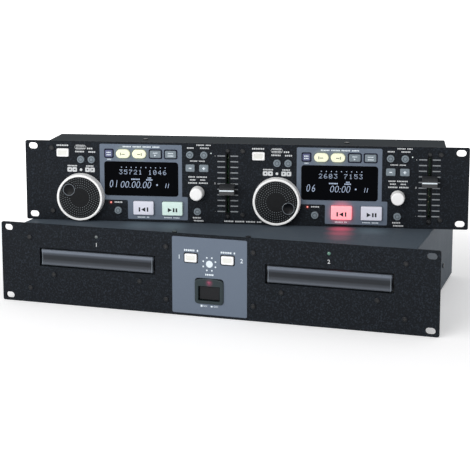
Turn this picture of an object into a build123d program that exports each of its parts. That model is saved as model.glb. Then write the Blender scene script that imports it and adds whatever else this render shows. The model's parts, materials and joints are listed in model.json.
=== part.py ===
from build123d import *
import math
import os

# A two-deck disc player for a disc jockey's rack. The drive unit has two motor-driven
# disc trays. Its remote controller stands on the drive's lid, turned a little, as in the
# photograph. Millimetres, +Z up, the drive's front faces -Y. The origin lies on the surface
# that the drive stands on, under the middle of the whole set.

# ---------------------------------------------------------------- driving dimensions
# Front panels: both units are two rack spaces high
panel_width = 482.6
panel_height = 88.1
panel_thickness = 3.0
panel_corner = 2.0
panel_edge = 0.5
rack_hole_side = 8.75
rack_hole_edge = 5.95
rack_slot_length = 10.2
rack_slot_width = 7.0

# Folded sheet-metal cases behind the panels
sheet = 1.2
bend_radius = 1.8
case_width = 434.0
case_drop = 0.5
drive_depth = 259.0
controller_depth = 60.0
foot_height = 3.5
foot_diameter = 20.0
foot_inset = 26.0
foot_flare = 30.0
pan_side_height = 22.0
lid_lip = 8.0
lid_tab_width = 12.0
lid_tab_depth = 8.0
case_tab = 8.0
case_tab_corner = 1.0
controller_foot_side = 24.0
controller_foot_back = 14.0

# Where the controller stands on the drive, and how far it is turned
controller_x = 15.6
controller_back = 67.4
controller_turn = 10.4

# Clearances
rest_gap = 0.1
running_gap = 0.35
key_clearance = 0.3
window_clearance = 0.15
screw_clearance = 0.1
through_clearance = 0.8

# Screws
panel_screw_head = 5.6
panel_screw_rise = 1.3
panel_screw_shank = 3.0
panel_screw_length = 7.0
case_screw_rise = 1.2
case_screw_length = 4.0
screw_round = 0.6

# Drive unit: trays, lamps, buttons and the power switch
tray_spacing = 256.0
tray_height = 7.65
tray_opening_width = 134.7
tray_opening_height = 20.5
tray_front_width = 130.5
tray_front_height = 17.2
tray_front_depth = 5.0
tray_front_proud = 1.6
tray_front_hollow = 1.1
tray_front_corner = 2.4
tray_front_edge = 1.0
tray_travel = 136.0
tray_width = 127.0
tray_length = 155.0
tray_top = 3.0
tray_plate = 5.0
tray_rail_width = 6.0
tray_rail_drop = 4.0
tray_tongue = 2.5
tray_tongue_height = 2.4
disc_diameter = 120.0
small_disc_diameter = 80.0
disc_clearance = 0.6
disc_centre_back = 66.0
disc_recess = 2.4
small_disc_recess = 0.9
spindle_opening = 37.0
lamp_diameter = 3.8
lamp_drop = 10.2
lamp_proud = 0.5
open_button_spacing = 40.4
open_button_row = 18.85
power_row = -15.75
power_bezel_width = 31.7
power_bezel_height = 27.5
power_bezel_arch = 2.2
power_bezel_corner = 3.6
power_bezel_proud = 1.8
power_bezel_collar = 6.0
power_bezel_wall = 2.0
power_button_row = -18.2
power_button_gap = 0.7
power_button_sunk = 0.6
power_travel = 2.5
power_plunger = 2.0
key_board_gap = 9.0

# Disc loaders behind the trays
loader_front = 6.0
loader_guide = 49.0
loader_wall = 4.5
loader_rise = 11.0
loader_floor_drop = 27.0
loader_floor = 3.0
turntable_diameter = 33.0
turntable_thickness = 3.0
turntable_drop = 8.0
spindle_diameter = 14.6
motor_diameter = 26.0
clamp_bridge_depth = 42.0
clamper_diameter = 34.0
clamper_thickness = 4.0
clamper_neck = 14.0
clamper_cap_lip = 3.0
spindle_boss = 1.4
spindle_taper = 20.0
motor_gap = 2.0
pickup_back = 34.0
pickup_width = 42.0
pickup_depth = 20.0
pickup_height = 9.0
pickup_lift = 5.0
rod_length = 38.0
rod_spacing = 36.0
rod_radius = 1.5
rod_lift = 8.0
rod_lead = 11.0
rod_post_width = 46.0
rod_post_depth = 4.0
rod_post_height = 12.0

# Rear of the drive
socket_length = 9.0
audio_socket_diameter = 8.4
audio_socket_pitch = 15.0
audio_socket_step = 22.0
audio_socket_side = 89.0
audio_socket_low = 22.5
audio_socket_boss = 1.0
audio_socket_wall = 0.8
audio_core_diameter = 5.2
audio_bore_diameter = 3.4
audio_bore_floor = 1.5
audio_boss_diameter = 10.6
audio_body_width = 14.0
audio_body_gap = 1.0
socket_body_depth = 9.0
remote_socket_diameter = 13.2
remote_socket_rise = 1.2
remote_socket_wall = 0.9
remote_socket_groove = 1.5
remote_socket_depth = 3.0
remote_socket_body = 16.0
remote_socket_x = 58.0
remote_socket_spacing = 24.0
remote_body_depth = 12.0
controller_socket_spacing = 28.0
controller_socket_row = 30.0
socket_row = 29.5
inlet_side = 47.0
inlet_wall = 1.6
inlet_floor = 3.0
inlet_width = 16.4
inlet_height = 8.0
inlet_flange_width = 24.0
inlet_flange_height = 13.0
inlet_flange_corner = 2.0
inlet_flange_rise = 1.4
inlet_depth = 10.0
inlet_pin_diameter = 2.4
inlet_pin_spacing = 8.6

# Controller: each deck's layout is measured across from the middle of its own half of the
# panel. Rows are measured down from the panel's top edge or up from its bottom edge.
deck_spacing = 216.0
top_row = panel_height / 2 - 12.9
round_row = panel_height / 2 - 20.2
bend_row = panel_height / 2 - 27.35
big_row = 15.55 - panel_height / 2
brake_row = 12.1 - panel_height / 2
memo_row = 12.7 - panel_height / 2

# Key caps
round_key_diameter = 8.0
square_key_width = 8.2
square_key_height = 7.7
oval_key_width = 15.4
oval_key_height = 9.5
bar_key_width = 12.2
bar_key_height = 8.0
wide_key_width = 13.4
wide_key_height = 8.9
bend_key_width = 10.0
bend_key_height = 8.0
big_key_width = 22.5
big_key_height = 15.0
power_key_width = 22.7
power_key_height = 14.5
key_corner = 1.3
key_edge = 0.8
key_proud = 2.0
oval_key_proud = 2.6
big_key_proud = 3.2
key_dish = 0.3
key_dish_border = 1.5
key_flange = 1.2
key_flange_width = 0.9
key_flange_gap = 0.2
key_stem_diameter = 3.2
key_travel = 0.8

# Display window
window_x = -3.65
window_drop = 21.8
window_rise = 28.8
window_y = (window_rise - window_drop) / 2
window_width = 81.7
window_height = panel_height - window_drop - window_rise
window_corner = 3.0
window_sunk = 0.4
window_border = 1.2
window_thickness = 4.4

# Jog disc inside its shuttle ring
jog_x = -70.8
ring_diameter = 52.0
ring_edge_gap = 0.7
jog_y = ring_diameter / 2 + ring_edge_gap - panel_height / 2
ring_top_diameter = 50.6
ring_height = 9.8
ring_rim = 2.4
ring_web = 2.0
ring_hub_diameter = 25.0
ring_hub_wall = 2.2
jog_sunk = 0.7
jog_thickness = 2.2
jog_edge = 0.5
jog_shaft_diameter = 8.0
jog_skirt = 4.0
encoder_rim = 2.0
dimple_diameter = 12.5
dimple_depth = 1.3
dimple_reach = 14.7
dimple_angles = (144.0, -27.0)

# Select knob on its push shaft
select_x = 58.6
select_y = 33.7 - panel_height / 2
select_knob_diameter = 15.0
select_knob_top = 13.6
select_knob_height = 12.0
select_knob_edge = 1.4
select_shaft_diameter = 6.0
select_shaft_bite = 8.0
select_shaft_fit = 0.05
select_travel = 0.6

# Pitch fader
fader_x = 91.7
fader_y = 0.2
fader_travel = panel_height - 28.1
fader_slot_width = 2.5
fader_slot_spare = 1.5
fader_rest = (-6.0, 7.0)
fader_cap_width = 16.0
fader_cap_length = 12.6
fader_cap_top = 9.0
fader_cap_height = 10.0
fader_cap_lift = 2.2
fader_cap_scoop = 1.1
fader_lever_width = 4.0
fader_lever_thickness = 1.2
fader_body_width = 10.0
fader_body_length = fader_travel + 17.0
fader_body_depth = 9.0
fader_body_floor = 3.0
fader_screw_spacing = fader_travel + 12.4
fader_screw_head = 4.6
fader_screw_shank = 2.4

# Boards inside both units
board_thickness = 1.6
board_depth = 19.0
board_width = 420.0
board_height = panel_height - 13.1
board_lift = 1.5
post_across = (-49.0, 79.5)
post_drop = 8.05
post_rise = 19.05
display_post_spacing = 76.0
display_module_depth = 8.0
display_module_gap = 1.0
display_module_border = (4.0, 2.0)
main_board_width = 380.0
main_board_depth = 50.0
main_board_back = 36.0
main_board_lift = 10.0
main_post_spacing = (120.0, 38.0)
transformer_width = 54.0
transformer_length = 66.0
transformer_core = 46.0
transformer_height = 44.0
transformer_foot = 2.0
transformer_back = 125.0
winding_width = 36.0
winding_length = 70.0
winding_height = 24.0
winding_lift = 12.0
winding_corner = 6.0
key_board_width = 66.0
key_board_height = 40.0
key_board_row = 14.0
key_post_spacing = (58.0, 31.0)
key_post_row = 14.5
switch_body_width = 18.0
switch_body_height = 14.0
switch_body_depth = 20.0
switch_bracket_width = 10.0
lamp_board_size = 12.0
switch_size = 6.0
switch_height = 5.0
switch_gap = 0.2
post_diameter = 6.0

# Each deck's keys: form, place across and place up, from the middle of the deck
deck_keys = {
    "open_key": ("wide", -90.9, top_row),
    "mode_key": ("round", -70.8, round_row),
    "time_key": ("round", -58.9, round_row),
    "sampler_key": ("square", -39.2, top_row),
    "loop_in_key": ("oval", -23.3, top_row),
    "loop_out_key": ("oval", -5.5, top_row),
    "exit_key": ("bar", 12.4, top_row),
    "reloop_key": ("bar", 29.2, top_row),
    "title_key": ("round", 50.3, top_row),
    "pitch_key": ("round", 65.7, top_row),
    "bend_minus_key": ("bend", 50.7, bend_row),
    "bend_plus_key": ("bend", 65.6, bend_row),
    "brake_key": ("round", -29.7, brake_row),
    "cue_key": ("big", -1.1, big_row),
    "play_key": ("big", 30.9, big_row),
    "memo_key": ("round", 58.4, memo_row),
}
key_sizes = {
    "square": (square_key_width, square_key_height),
    "bar": (bar_key_width, bar_key_height),
    "wide": (wide_key_width, wide_key_height),
    "bend": (bend_key_width, bend_key_height),
    "big": (big_key_width, big_key_height),
    "power": (power_key_width, power_key_height),
}

# Screws in the right half of the drive's panel, from its middle; the left half mirrors them
screw_high = panel_height / 2 - 15.1
screw_low = 16.1 - panel_height / 2
screw_side = case_width / 2 - 10.2
tray_screw_row = tray_height - 18.6
drive_screw_places = (
    (48.1, screw_high),
    (48.1, screw_low),
    (tray_spacing / 2 - 49.8, tray_screw_row),
    (tray_spacing / 2 + 50.5, tray_screw_row),
    (screw_side, screw_high),
    (screw_side, screw_low),
)
controller_screw_side = case_width / 2 - 5.7
controller_screw_high = panel_height / 2 - 7.9
controller_screw_low = 9.9 - panel_height / 2
controller_screw_places = [
    (x, y)
    for x in (-controller_screw_side, 0, controller_screw_side)
    for y in (controller_screw_high, controller_screw_low)
]
lid_screw_x = 40.7
lid_screw_back = 6.2
side_screw_back = 183.0
side_screw_drop = 58.0
side_bracket_width = 12.0
side_bracket_edge = 4.0
controller_lid_screw_x = 111.0
controller_lid_screw_back = 22.0

# ---------------------------------------------------------------- derived places
turn = math.radians(controller_turn)
rack_hole_across = panel_width - 2 * rack_hole_side
rack_hole_rise = panel_height - 2 * rack_hole_edge
lamp_height = panel_height / 2 - lamp_drop
loader_length = tray_travel + loader_guide
fader_slot_length = fader_travel + fader_lever_width + fader_slot_spare
front_reach = max(tray_front_proud, key_proud, power_bezel_proud, panel_screw_rise)
rear_reach = socket_length - sheet - rest_gap
set_left = -panel_width / 2
set_right = controller_x + panel_width / 2 * math.cos(turn) - panel_edge * math.sin(turn)
drive_x = -(set_left + set_right) / 2
drive_y = -(drive_depth + rear_reach - front_reach) / 2
lid_top = panel_height - case_drop
deck_places = (-deck_spacing / 2, deck_spacing / 2)

# Planes: a face plane has x to the right, y up and z towards the user. A floor plane has x to
# the right and y from the panel's front face to the rear.
drive_face = Plane(origin=(drive_x, drive_y, panel_height / 2), x_dir=(1, 0, 0), z_dir=(0, -1, 0))
drive_floor = Plane(origin=(drive_x, drive_y, 0), x_dir=(1, 0, 0), z_dir=(0, 0, 1))
controller_foot = lid_top + rest_gap
controller_face = Plane(
    origin=(drive_x + controller_x, drive_y + controller_back, controller_foot + panel_height / 2),
    x_dir=(math.cos(turn), math.sin(turn), 0),
    z_dir=(math.sin(turn), -math.cos(turn), 0),
)
controller_floor = Plane(
    origin=(drive_x + controller_x, drive_y + controller_back, controller_foot),
    x_dir=controller_face.x_dir,
    z_dir=(0, 0, 1),
)
chassis_width = case_width - 2 * (sheet + rest_gap)
case_front = panel_thickness + rest_gap
chassis_front = case_front
chassis_back = drive_depth - sheet - rest_gap
chassis_top = lid_top - sheet - rest_gap
rear_face = Plane(origin=(drive_x, drive_y + chassis_back, 0), x_dir=(-1, 0, 0), z_dir=(0, 1, 0))
tray_middle = panel_height / 2 + tray_height


# ---------------------------------------------------------------- shared forms
def spot(face, x, y, lift=0.0):
    """The face plane moved to a place on it, and lifted off it."""
    return Plane(origin=face.from_local_coords(Vector(x, y, lift)), x_dir=face.x_dir, z_dir=face.z_dir)


def front_of(part, face):
    """The part's face that lies nearest the user."""
    return part.faces().sort_by(Axis((0, 0, 0), face.z_dir))[-1]


def key_outline(form, grow=0.0, mode=Mode.ADD):
    """A key's outline in the sketch, grown all round."""
    if form == "round":
        Circle(round_key_diameter / 2 + grow, mode=mode)
    elif form == "oval":
        SlotOverall(oval_key_width + 2 * grow, oval_key_height + 2 * grow, mode=mode)
    else:
        width, height = key_sizes[form]
        RectangleRounded(width + 2 * grow, height + 2 * grow, max(key_corner + grow, 0.2), mode=mode)


def key_cap(place, form, proud, edge, stem_end, wall=panel_thickness, dished=False):
    """A key cap through its hole: crown, body, a flange behind the panel and a stem."""
    flange_front = wall + key_flange_gap
    with BuildPart() as cap:
        with BuildSketch(place.offset(-flange_front)):
            key_outline(form)
        extrude(amount=flange_front + proud)
        fillet(front_of(cap, place).edges(), edge)
        if dished:
            with BuildSketch(place.offset(proud)):
                key_outline(form, -key_dish_border)
            extrude(amount=-key_dish, mode=Mode.SUBTRACT)
        with BuildSketch(place.offset(-flange_front)):
            key_outline(form, key_flange_width)
        extrude(amount=-key_flange)
        with BuildSketch(place.offset(-flange_front - key_flange)):
            Circle(key_stem_diameter / 2)
        extrude(amount=-(stem_end - flange_front - key_flange))
    return cap


def screw(head, rise, shank, length):
    """A round-headed screw along Z, with its head's seat at the origin."""
    with BuildPart() as one:
        Cylinder(head / 2, rise, align=(Align.CENTER, Align.CENTER, Align.MIN))
        fillet(one.faces().sort_by(Axis.Z)[-1].edges(), rise * screw_round)
        Cylinder(shank / 2, length, align=(Align.CENTER, Align.CENTER, Align.MAX))
    return one


def rack_panel_outline():
    """A two-space rack panel with its four slots."""
    RectangleRounded(panel_width, panel_height, panel_corner)
    with GridLocations(rack_hole_across, rack_hole_rise, 2, 2):
        SlotOverall(rack_slot_length, rack_slot_width, mode=Mode.SUBTRACT)


def pressed_feet(part_floor, places):
    """Feet pressed down out of the sheet: a flared cup below and its dent above."""
    slope = math.tan(math.radians(foot_flare))
    with BuildSketch(part_floor) as cups:
        with Locations(*places):
            Circle(foot_diameter / 2)
    extrude(cups.sketch, amount=foot_height, taper=-foot_flare)
    with BuildSketch(part_floor.offset(sheet)) as dents:
        with Locations(*places):
            Circle(foot_diameter / 2 - sheet * (1 / math.cos(math.radians(foot_flare)) - slope))
    extrude(dents.sketch, amount=foot_height, taper=-foot_flare, mode=Mode.SUBTRACT)


def save(builder, name):
    """Label the finished piece and write its file."""
    builder.part.label = name
    export_step(builder.part, f"parts/{name}.step")


def numbered(name, index):
    """A deck's own copy of a piece, such as cue_key_1."""
    return f"{name}_{index + 1}"


os.makedirs("parts", exist_ok=True)
panel_screw = screw(panel_screw_head, panel_screw_rise, panel_screw_shank, panel_screw_length)
case_screw = screw(panel_screw_head, case_screw_rise, panel_screw_shank, case_screw_length)
fader_screw = screw(fader_screw_head, panel_screw_rise, fader_screw_shank, panel_screw_length)
drive_screws_at = [(side * x, y) for x, y in drive_screw_places for side in (-1, 1)]
tray_places = ((-tray_spacing / 2, tray_height), (tray_spacing / 2, tray_height))
open_button_places = [(side * open_button_spacing / 2, open_button_row) for side in (-1, 1)]
lamp_places = ((-tray_spacing / 2, lamp_height), (tray_spacing / 2, lamp_height))
lid_screw_places = ((-lid_screw_x, lid_screw_back), (lid_screw_x, lid_screw_back))


# ---------------------------------------------------------------- drive unit: front panel
def power_opening(grow, mode=Mode.ADD):
    """The hole that the power button slides in, grown all round."""
    with Locations((0, power_button_row)):
        Rectangle(
            power_key_width + 2 * (power_button_gap + grow),
            power_key_height + 2 * (power_button_gap + grow),
            mode=mode,
        )


with BuildPart() as drive_front_panel:
    with BuildSketch(drive_face.offset(-panel_thickness)):
        rack_panel_outline()
        with Locations(*tray_places):
            Rectangle(tray_opening_width, tray_opening_height, mode=Mode.SUBTRACT)
        with Locations(*open_button_places):
            key_outline("wide", key_clearance, Mode.SUBTRACT)
        with Locations(*lamp_places):
            Circle(lamp_diameter / 2, mode=Mode.SUBTRACT)
        with Locations(*drive_screws_at):
            Circle(panel_screw_shank / 2 + screw_clearance, mode=Mode.SUBTRACT)
        power_opening(power_bezel_wall + window_clearance, Mode.SUBTRACT)
    extrude(amount=panel_thickness)
    chamfer(front_of(drive_front_panel, drive_face).outer_wire().edges(), panel_edge)
save(drive_front_panel, "drive_front_panel")

# The power switch's bezel: arched plate on the panel and a collar through it
with BuildPart() as power_switch_bezel:
    with BuildSketch(drive_face.offset(rest_gap)) as bezel_sketch:
        side_top = power_row + power_bezel_height / 2 - power_bezel_arch
        with BuildLine():
            half = power_bezel_width / 2
            low = power_row - power_bezel_height / 2
            Polyline((-half, side_top), (-half, low), (half, low), (half, side_top))
            ThreePointArc((-half, side_top), (0, side_top + power_bezel_arch), (half, side_top))
        make_face()
        fillet(bezel_sketch.vertices(), power_bezel_corner)
    extrude(amount=power_bezel_proud - rest_gap)
    fillet(front_of(power_switch_bezel, drive_face).edges(), power_bezel_proud * 0.5)
    with BuildSketch(drive_face.offset(rest_gap)):
        power_opening(power_bezel_wall)
    extrude(amount=-(power_bezel_collar + rest_gap))
    with BuildSketch(drive_face.offset(power_bezel_proud)):
        power_opening(0)
    extrude(amount=-(power_bezel_collar + power_bezel_proud), mode=Mode.SUBTRACT)
save(power_switch_bezel, "power_switch_bezel")

# ---------------------------------------------------------------- drive unit: buttons
key_board_depth = chassis_front + sheet + key_board_gap
for index, (x, y) in enumerate(open_button_places):
    button_stem = key_board_depth - switch_height - key_travel - switch_gap
    open_button = key_cap(
        spot(drive_face, x, y), "wide", key_proud, key_edge, button_stem,
        wall=chassis_front + sheet, dished=True,
    )
    save(open_button, numbered("open_button", index))

power_length = power_bezel_collar - power_button_sunk + power_travel
with BuildPart() as power_button:
    power_place = spot(drive_face, 0, power_button_row, -power_button_sunk)
    with BuildSketch(power_place):
        key_outline("power")
    extrude(amount=-power_length)
    fillet(front_of(power_button, drive_face).edges(), key_edge)
    with BuildSketch(power_place.offset(-power_length)):
        Circle(key_stem_diameter)
    extrude(amount=-power_plunger)
save(power_button, "power_button")
power_button_back = power_button_sunk + power_length + power_plunger

# ---------------------------------------------------------------- drive unit: case
with BuildPart() as drive_chassis:
    with BuildSketch(drive_floor.offset(foot_height)):
        with Locations((0, (chassis_front + chassis_back) / 2)):
            Rectangle(chassis_width, chassis_back - chassis_front)
    extrude(amount=chassis_top - foot_height)
    offset(amount=-sheet, openings=drive_chassis.faces().sort_by(Axis.Z)[-1])
    # The sides stay low, because the cover's own sides close them
    with BuildSketch(drive_floor.offset(foot_height + pan_side_height)):
        with Locations((0, (chassis_front + chassis_back) / 2)):
            Rectangle(chassis_width + 1, chassis_back - chassis_front - 4 * sheet)
    extrude(amount=chassis_top, mode=Mode.SUBTRACT)
    # Front wall: trays, buttons, lamps, switch and threads for the panel's screws
    with BuildSketch(drive_face.offset(-chassis_front)):
        with Locations(*tray_places):
            Rectangle(tray_opening_width, tray_opening_height)
        with Locations(*open_button_places):
            key_outline("wide", key_clearance)
        with Locations(*lamp_places):
            Circle(lamp_diameter / 2)
        with Locations(*drive_screws_at):
            Circle(panel_screw_shank / 2 + screw_clearance)
        power_opening(power_bezel_wall + window_clearance)
    extrude(amount=-sheet * 1.5, mode=Mode.SUBTRACT)
    foot_x = case_width / 2 - foot_inset
    foot_rows = (chassis_front + foot_inset, chassis_back - foot_inset)
    pressed_feet(drive_floor, [(x, y) for x in (-foot_x, foot_x) for y in foot_rows])
    # Rear wall: holes for the sockets
    audio_places = [
        (audio_socket_side - case_width / 2 + (step - 1) * audio_socket_step, foot_height + low)
        for step in range(3)
        for low in (audio_socket_low, audio_socket_low + audio_socket_pitch)
    ]
    remote_places = [
        (-remote_socket_x + side * remote_socket_spacing / 2, foot_height + socket_row) for side in (-1, 1)
    ]
    inlet_place = (case_width / 2 - inlet_side, foot_height + socket_row)
    inlet_body = (inlet_width + 2 * inlet_wall, inlet_height + 2 * inlet_wall)
    with BuildSketch(rear_face):
        with Locations(*audio_places):
            Circle(audio_boss_diameter / 2 + screw_clearance)
        with Locations(*remote_places):
            Circle(remote_socket_diameter / 2 + screw_clearance)
        with Locations(inlet_place):
            SlotOverall(*[size + 2 * screw_clearance for size in inlet_body])
    extrude(amount=-sheet * 1.5, mode=Mode.SUBTRACT)
    # Threads for the cover's screws, in a turned-in tab at the front and in the pan's sides
    side_screw_height = lid_top - side_screw_drop
    with BuildSketch(drive_floor.offset(chassis_top - sheet)):
        with Locations(*[(x, chassis_front + lid_tab_depth / 2) for x in (-lid_screw_x, lid_screw_x)]):
            Rectangle(lid_tab_width, lid_tab_depth)
    extrude(amount=sheet)
    with BuildSketch(drive_floor.offset(chassis_top)):
        with Locations(*lid_screw_places):
            Circle(panel_screw_shank / 2 + screw_clearance)
    extrude(amount=-2 * sheet, mode=Mode.SUBTRACT)
    for side in (-1, 1):
        with BuildSketch(Plane(
            origin=(drive_x + side * chassis_width / 2, drive_y, 0), x_dir=(0, 1, 0), z_dir=(1, 0, 0)
        )):
            bracket_rise = side_screw_height + side_bracket_edge - foot_height
            with Locations((side_screw_back, foot_height + bracket_rise / 2)):
                Rectangle(side_bracket_width, bracket_rise)
            with Locations((side_screw_back, side_screw_height)):
                Circle(panel_screw_shank / 2 + screw_clearance, mode=Mode.SUBTRACT)
        extrude(amount=-side * sheet)
save(drive_chassis, "drive_chassis")

# The cover is one folded sheet: top, both sides and a lip down over the rear wall
with BuildPart() as drive_lid:
    with BuildSketch(drive_floor.offset(foot_height)):
        with Locations((0, (case_front + drive_depth) / 2)):
            Rectangle(case_width, drive_depth - case_front)
    extrude(amount=lid_top - foot_height)
    fillet(drive_lid.edges().group_by(Axis.Z)[-1].filter_by(Axis.Y), bend_radius)
    with BuildSketch(drive_floor.offset(foot_height)):
        with Locations((0, (case_front + drive_depth) / 2 - sheet)):
            Rectangle(case_width - 2 * sheet, drive_depth - case_front)
    extrude(amount=lid_top - foot_height - sheet, mode=Mode.SUBTRACT)
    with BuildSketch(drive_floor.offset(foot_height)):
        with Locations((0, drive_depth)):
            Rectangle(case_width - 2 * sheet, 2 * (sheet + rest_gap))
    extrude(amount=lid_top - foot_height - lid_lip, mode=Mode.SUBTRACT)
    with BuildSketch(drive_floor.offset(lid_top)):
        with Locations(*lid_screw_places):
            Circle(panel_screw_shank / 2 + screw_clearance)
    extrude(amount=-2 * sheet, mode=Mode.SUBTRACT)
    side_plane = Plane(origin=(drive_x, drive_y, 0), x_dir=(0, 1, 0), z_dir=(1, 0, 0))
    with BuildSketch(side_plane):
        with Locations((side_screw_back, side_screw_height)):
            Circle(panel_screw_shank / 2 + screw_clearance)
    extrude(amount=case_width, both=True, mode=Mode.SUBTRACT)
save(drive_lid, "drive_lid")

with BuildPart() as drive_screws:
    with Locations(*[spot(drive_face, x, y, rest_gap).location for x, y in drive_screws_at]):
        add(panel_screw.part)
    lid_spots = [spot(drive_floor, x, y, lid_top + rest_gap) for x, y in lid_screw_places]
    side_reach = case_width / 2 + rest_gap
    side_spots = [
        Plane(
            origin=(drive_x + side * side_reach, drive_y + side_screw_back, side_screw_height),
            x_dir=(0, 1, 0),
            z_dir=(side, 0, 0),
        )
        for side in (-1, 1)
    ]
    with Locations(*[place.location for place in lid_spots + side_spots]):
        add(case_screw.part)
save(drive_screws, "drive_screws")

# ---------------------------------------------------------------- drive unit: trays
carrier_front = tray_front_depth + rest_gap
carrier_bottom = tray_top - tray_plate


def disc_tray(tray_x):
    """A tray: moulded carrier with its disc dishes, and the front that closes the slot."""
    carrier = Plane(origin=(drive_x + tray_x, drive_y, tray_middle), x_dir=(1, 0, 0), z_dir=(0, 0, 1))
    disc_y = carrier_front + disc_centre_back
    middle_y = carrier_front + tray_length / 2
    rail_x = (tray_width - tray_rail_width) / 2
    with BuildPart() as tray:
        with BuildSketch(carrier.offset(carrier_bottom)):
            with Locations((0, middle_y)):
                Rectangle(tray_width, tray_length)
        extrude(amount=tray_plate)
        with BuildSketch(carrier.offset(carrier_bottom)):
            with Locations((-rail_x, middle_y), (rail_x, middle_y)):
                Rectangle(tray_rail_width, tray_length)
            with Locations((0, carrier_front + tray_rail_width / 2)):
                Rectangle(tray_width, tray_rail_width)
        extrude(amount=-tray_rail_drop)
        with BuildSketch(carrier.offset(carrier_bottom - tray_rail_drop)):
            with Locations((0, middle_y)):
                Rectangle(tray_width + 2 * tray_tongue, tray_length)
                Rectangle(tray_width, tray_length, mode=Mode.SUBTRACT)
        extrude(amount=tray_tongue_height)
        with BuildSketch(carrier.offset(tray_top)):
            with Locations((0, disc_y)):
                Circle(disc_diameter / 2 + disc_clearance)
        extrude(amount=-disc_recess, mode=Mode.SUBTRACT)
        with BuildSketch(carrier.offset(tray_top - disc_recess)):
            with Locations((0, disc_y)):
                Circle(small_disc_diameter / 2 + disc_clearance)
        extrude(amount=-small_disc_recess, mode=Mode.SUBTRACT)
        slot_length = disc_diameter / 2 + spindle_opening / 2
        with BuildSketch(carrier.offset(tray_top)):
            with Locations((0, disc_y + slot_length / 2 - spindle_opening / 2)):
                RectangleRounded(spindle_opening, slot_length, spindle_opening / 2 - 0.5)
        extrude(amount=-2 * tray_plate, mode=Mode.SUBTRACT)
        # The front: a bar with a hollowed face and rounded ends
        with BuildSketch(Plane(origin=carrier.origin, x_dir=(0, 1, 0), z_dir=(1, 0, 0))):
            tall = tray_front_height / 2
            with BuildLine():
                ThreePointArc(
                    (-tray_front_proud, tall),
                    (tray_front_hollow - tray_front_proud, 0),
                    (-tray_front_proud, -tall),
                )
                Polyline(
                    (-tray_front_proud, -tall),
                    (tray_front_depth, -tall),
                    (tray_front_depth, tall),
                    (-tray_front_proud, tall),
                )
            make_face()
        extrude(amount=tray_front_width / 2, both=True)
        fillet(front_of(tray, drive_face).edges().filter_by(GeomType.CIRCLE), tray_front_corner)
        fillet(front_of(tray, drive_face).edges().filter_by(GeomType.LINE), tray_front_edge)
    return tray


for index, (tray_x, _) in enumerate(tray_places):
    save(disc_tray(tray_x), numbered("tray", index))

# ---------------------------------------------------------------- drive unit: loaders
tongue_bottom = carrier_bottom - tray_rail_drop
disc_back = carrier_front + disc_centre_back
pan_floor = foot_height + sheet

with BuildPart() as disc_loaders:
    for tray_x, _ in tray_places:
        ahead = Plane(
            origin=(drive_x + tray_x, drive_y + loader_front, tray_middle),
            x_dir=(1, 0, 0),
            z_dir=(0, -1, 0),
        )
        wall_foot = pan_floor + rest_gap - tray_middle
        wall_x = tray_width / 2 + running_gap + loader_wall / 2
        groove_width = 2 * (tray_tongue + running_gap)
        groove_height = tray_tongue_height + 2 * running_gap
        with BuildSketch(ahead):
            for side in (-1, 1):
                with Locations((side * wall_x, (wall_foot + loader_rise) / 2)):
                    Rectangle(loader_wall, loader_rise - wall_foot)
                with Locations((side * tray_width / 2, tongue_bottom + tray_tongue_height / 2)):
                    Rectangle(groove_width, groove_height, mode=Mode.SUBTRACT)
            with Locations((0, -loader_floor_drop - loader_floor / 2)):
                Rectangle(2 * wall_x, loader_floor)
        extrude(amount=-loader_length)
        # Clamp bridge across the walls, with the clamper hanging in it
        above = Plane(
            origin=(drive_x + tray_x, drive_y + disc_back, tray_middle),
            x_dir=(1, 0, 0),
            z_dir=(0, 0, 1),
        )
        with BuildSketch(above.offset(loader_rise)):
            Rectangle(2 * wall_x + loader_wall, clamp_bridge_depth)
            Circle(clamper_neck / 2 + running_gap, mode=Mode.SUBTRACT)
        extrude(amount=sheet)
        clamper_top = loader_rise - running_gap
        with BuildSketch(above.offset(clamper_top)):
            Circle(clamper_diameter / 2)
        extrude(amount=-clamper_thickness)
        with BuildSketch(above.offset(clamper_top)):
            Circle(clamper_neck / 2)
        extrude(amount=sheet + 2 * running_gap)
        with BuildSketch(above.offset(loader_rise + sheet + running_gap)):
            Circle(clamper_neck / 2 + clamper_cap_lip)
        extrude(amount=sheet)
        # Turntable lowered under the tray, on its motor
        floor_top = -loader_floor_drop
        with BuildSketch(above.offset(floor_top)):
            Circle(motor_diameter / 2)
        extrude(amount=-turntable_drop - turntable_thickness - floor_top - motor_gap)
        with BuildSketch(above.offset(-turntable_drop - turntable_thickness - motor_gap)):
            Circle(key_stem_diameter / 2)
        extrude(amount=motor_gap)
        with BuildSketch(above.offset(-turntable_drop - turntable_thickness)):
            Circle(turntable_diameter / 2)
        extrude(amount=turntable_thickness)
        with BuildSketch(above.offset(-turntable_drop)):
            Circle(spindle_diameter / 2)
        extrude(amount=spindle_boss, taper=spindle_taper)
        # Pickup behind the turntable, on its two rods between posts
        rod_front = pickup_back - rod_lead
        with BuildSketch(above.offset(floor_top)):
            with Locations((0, rod_front), (0, rod_front + rod_length)):
                Rectangle(rod_post_width, rod_post_depth)
        extrude(amount=rod_post_height)
        rods = above.from_local_coords(Vector(0, rod_front, floor_top + rod_lift))
        with BuildSketch(Plane(origin=rods, x_dir=(1, 0, 0), z_dir=(0, 1, 0))):
            with Locations((-rod_spacing / 2, 0), (rod_spacing / 2, 0)):
                Circle(rod_radius)
        extrude(amount=rod_length)
        with BuildSketch(above.offset(floor_top + pickup_lift)):
            with Locations((0, rod_front + rod_length / 2 - rod_post_depth / 2)):
                Rectangle(pickup_width, pickup_depth)
        extrude(amount=pickup_height)
save(disc_loaders, "disc_loaders")

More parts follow.
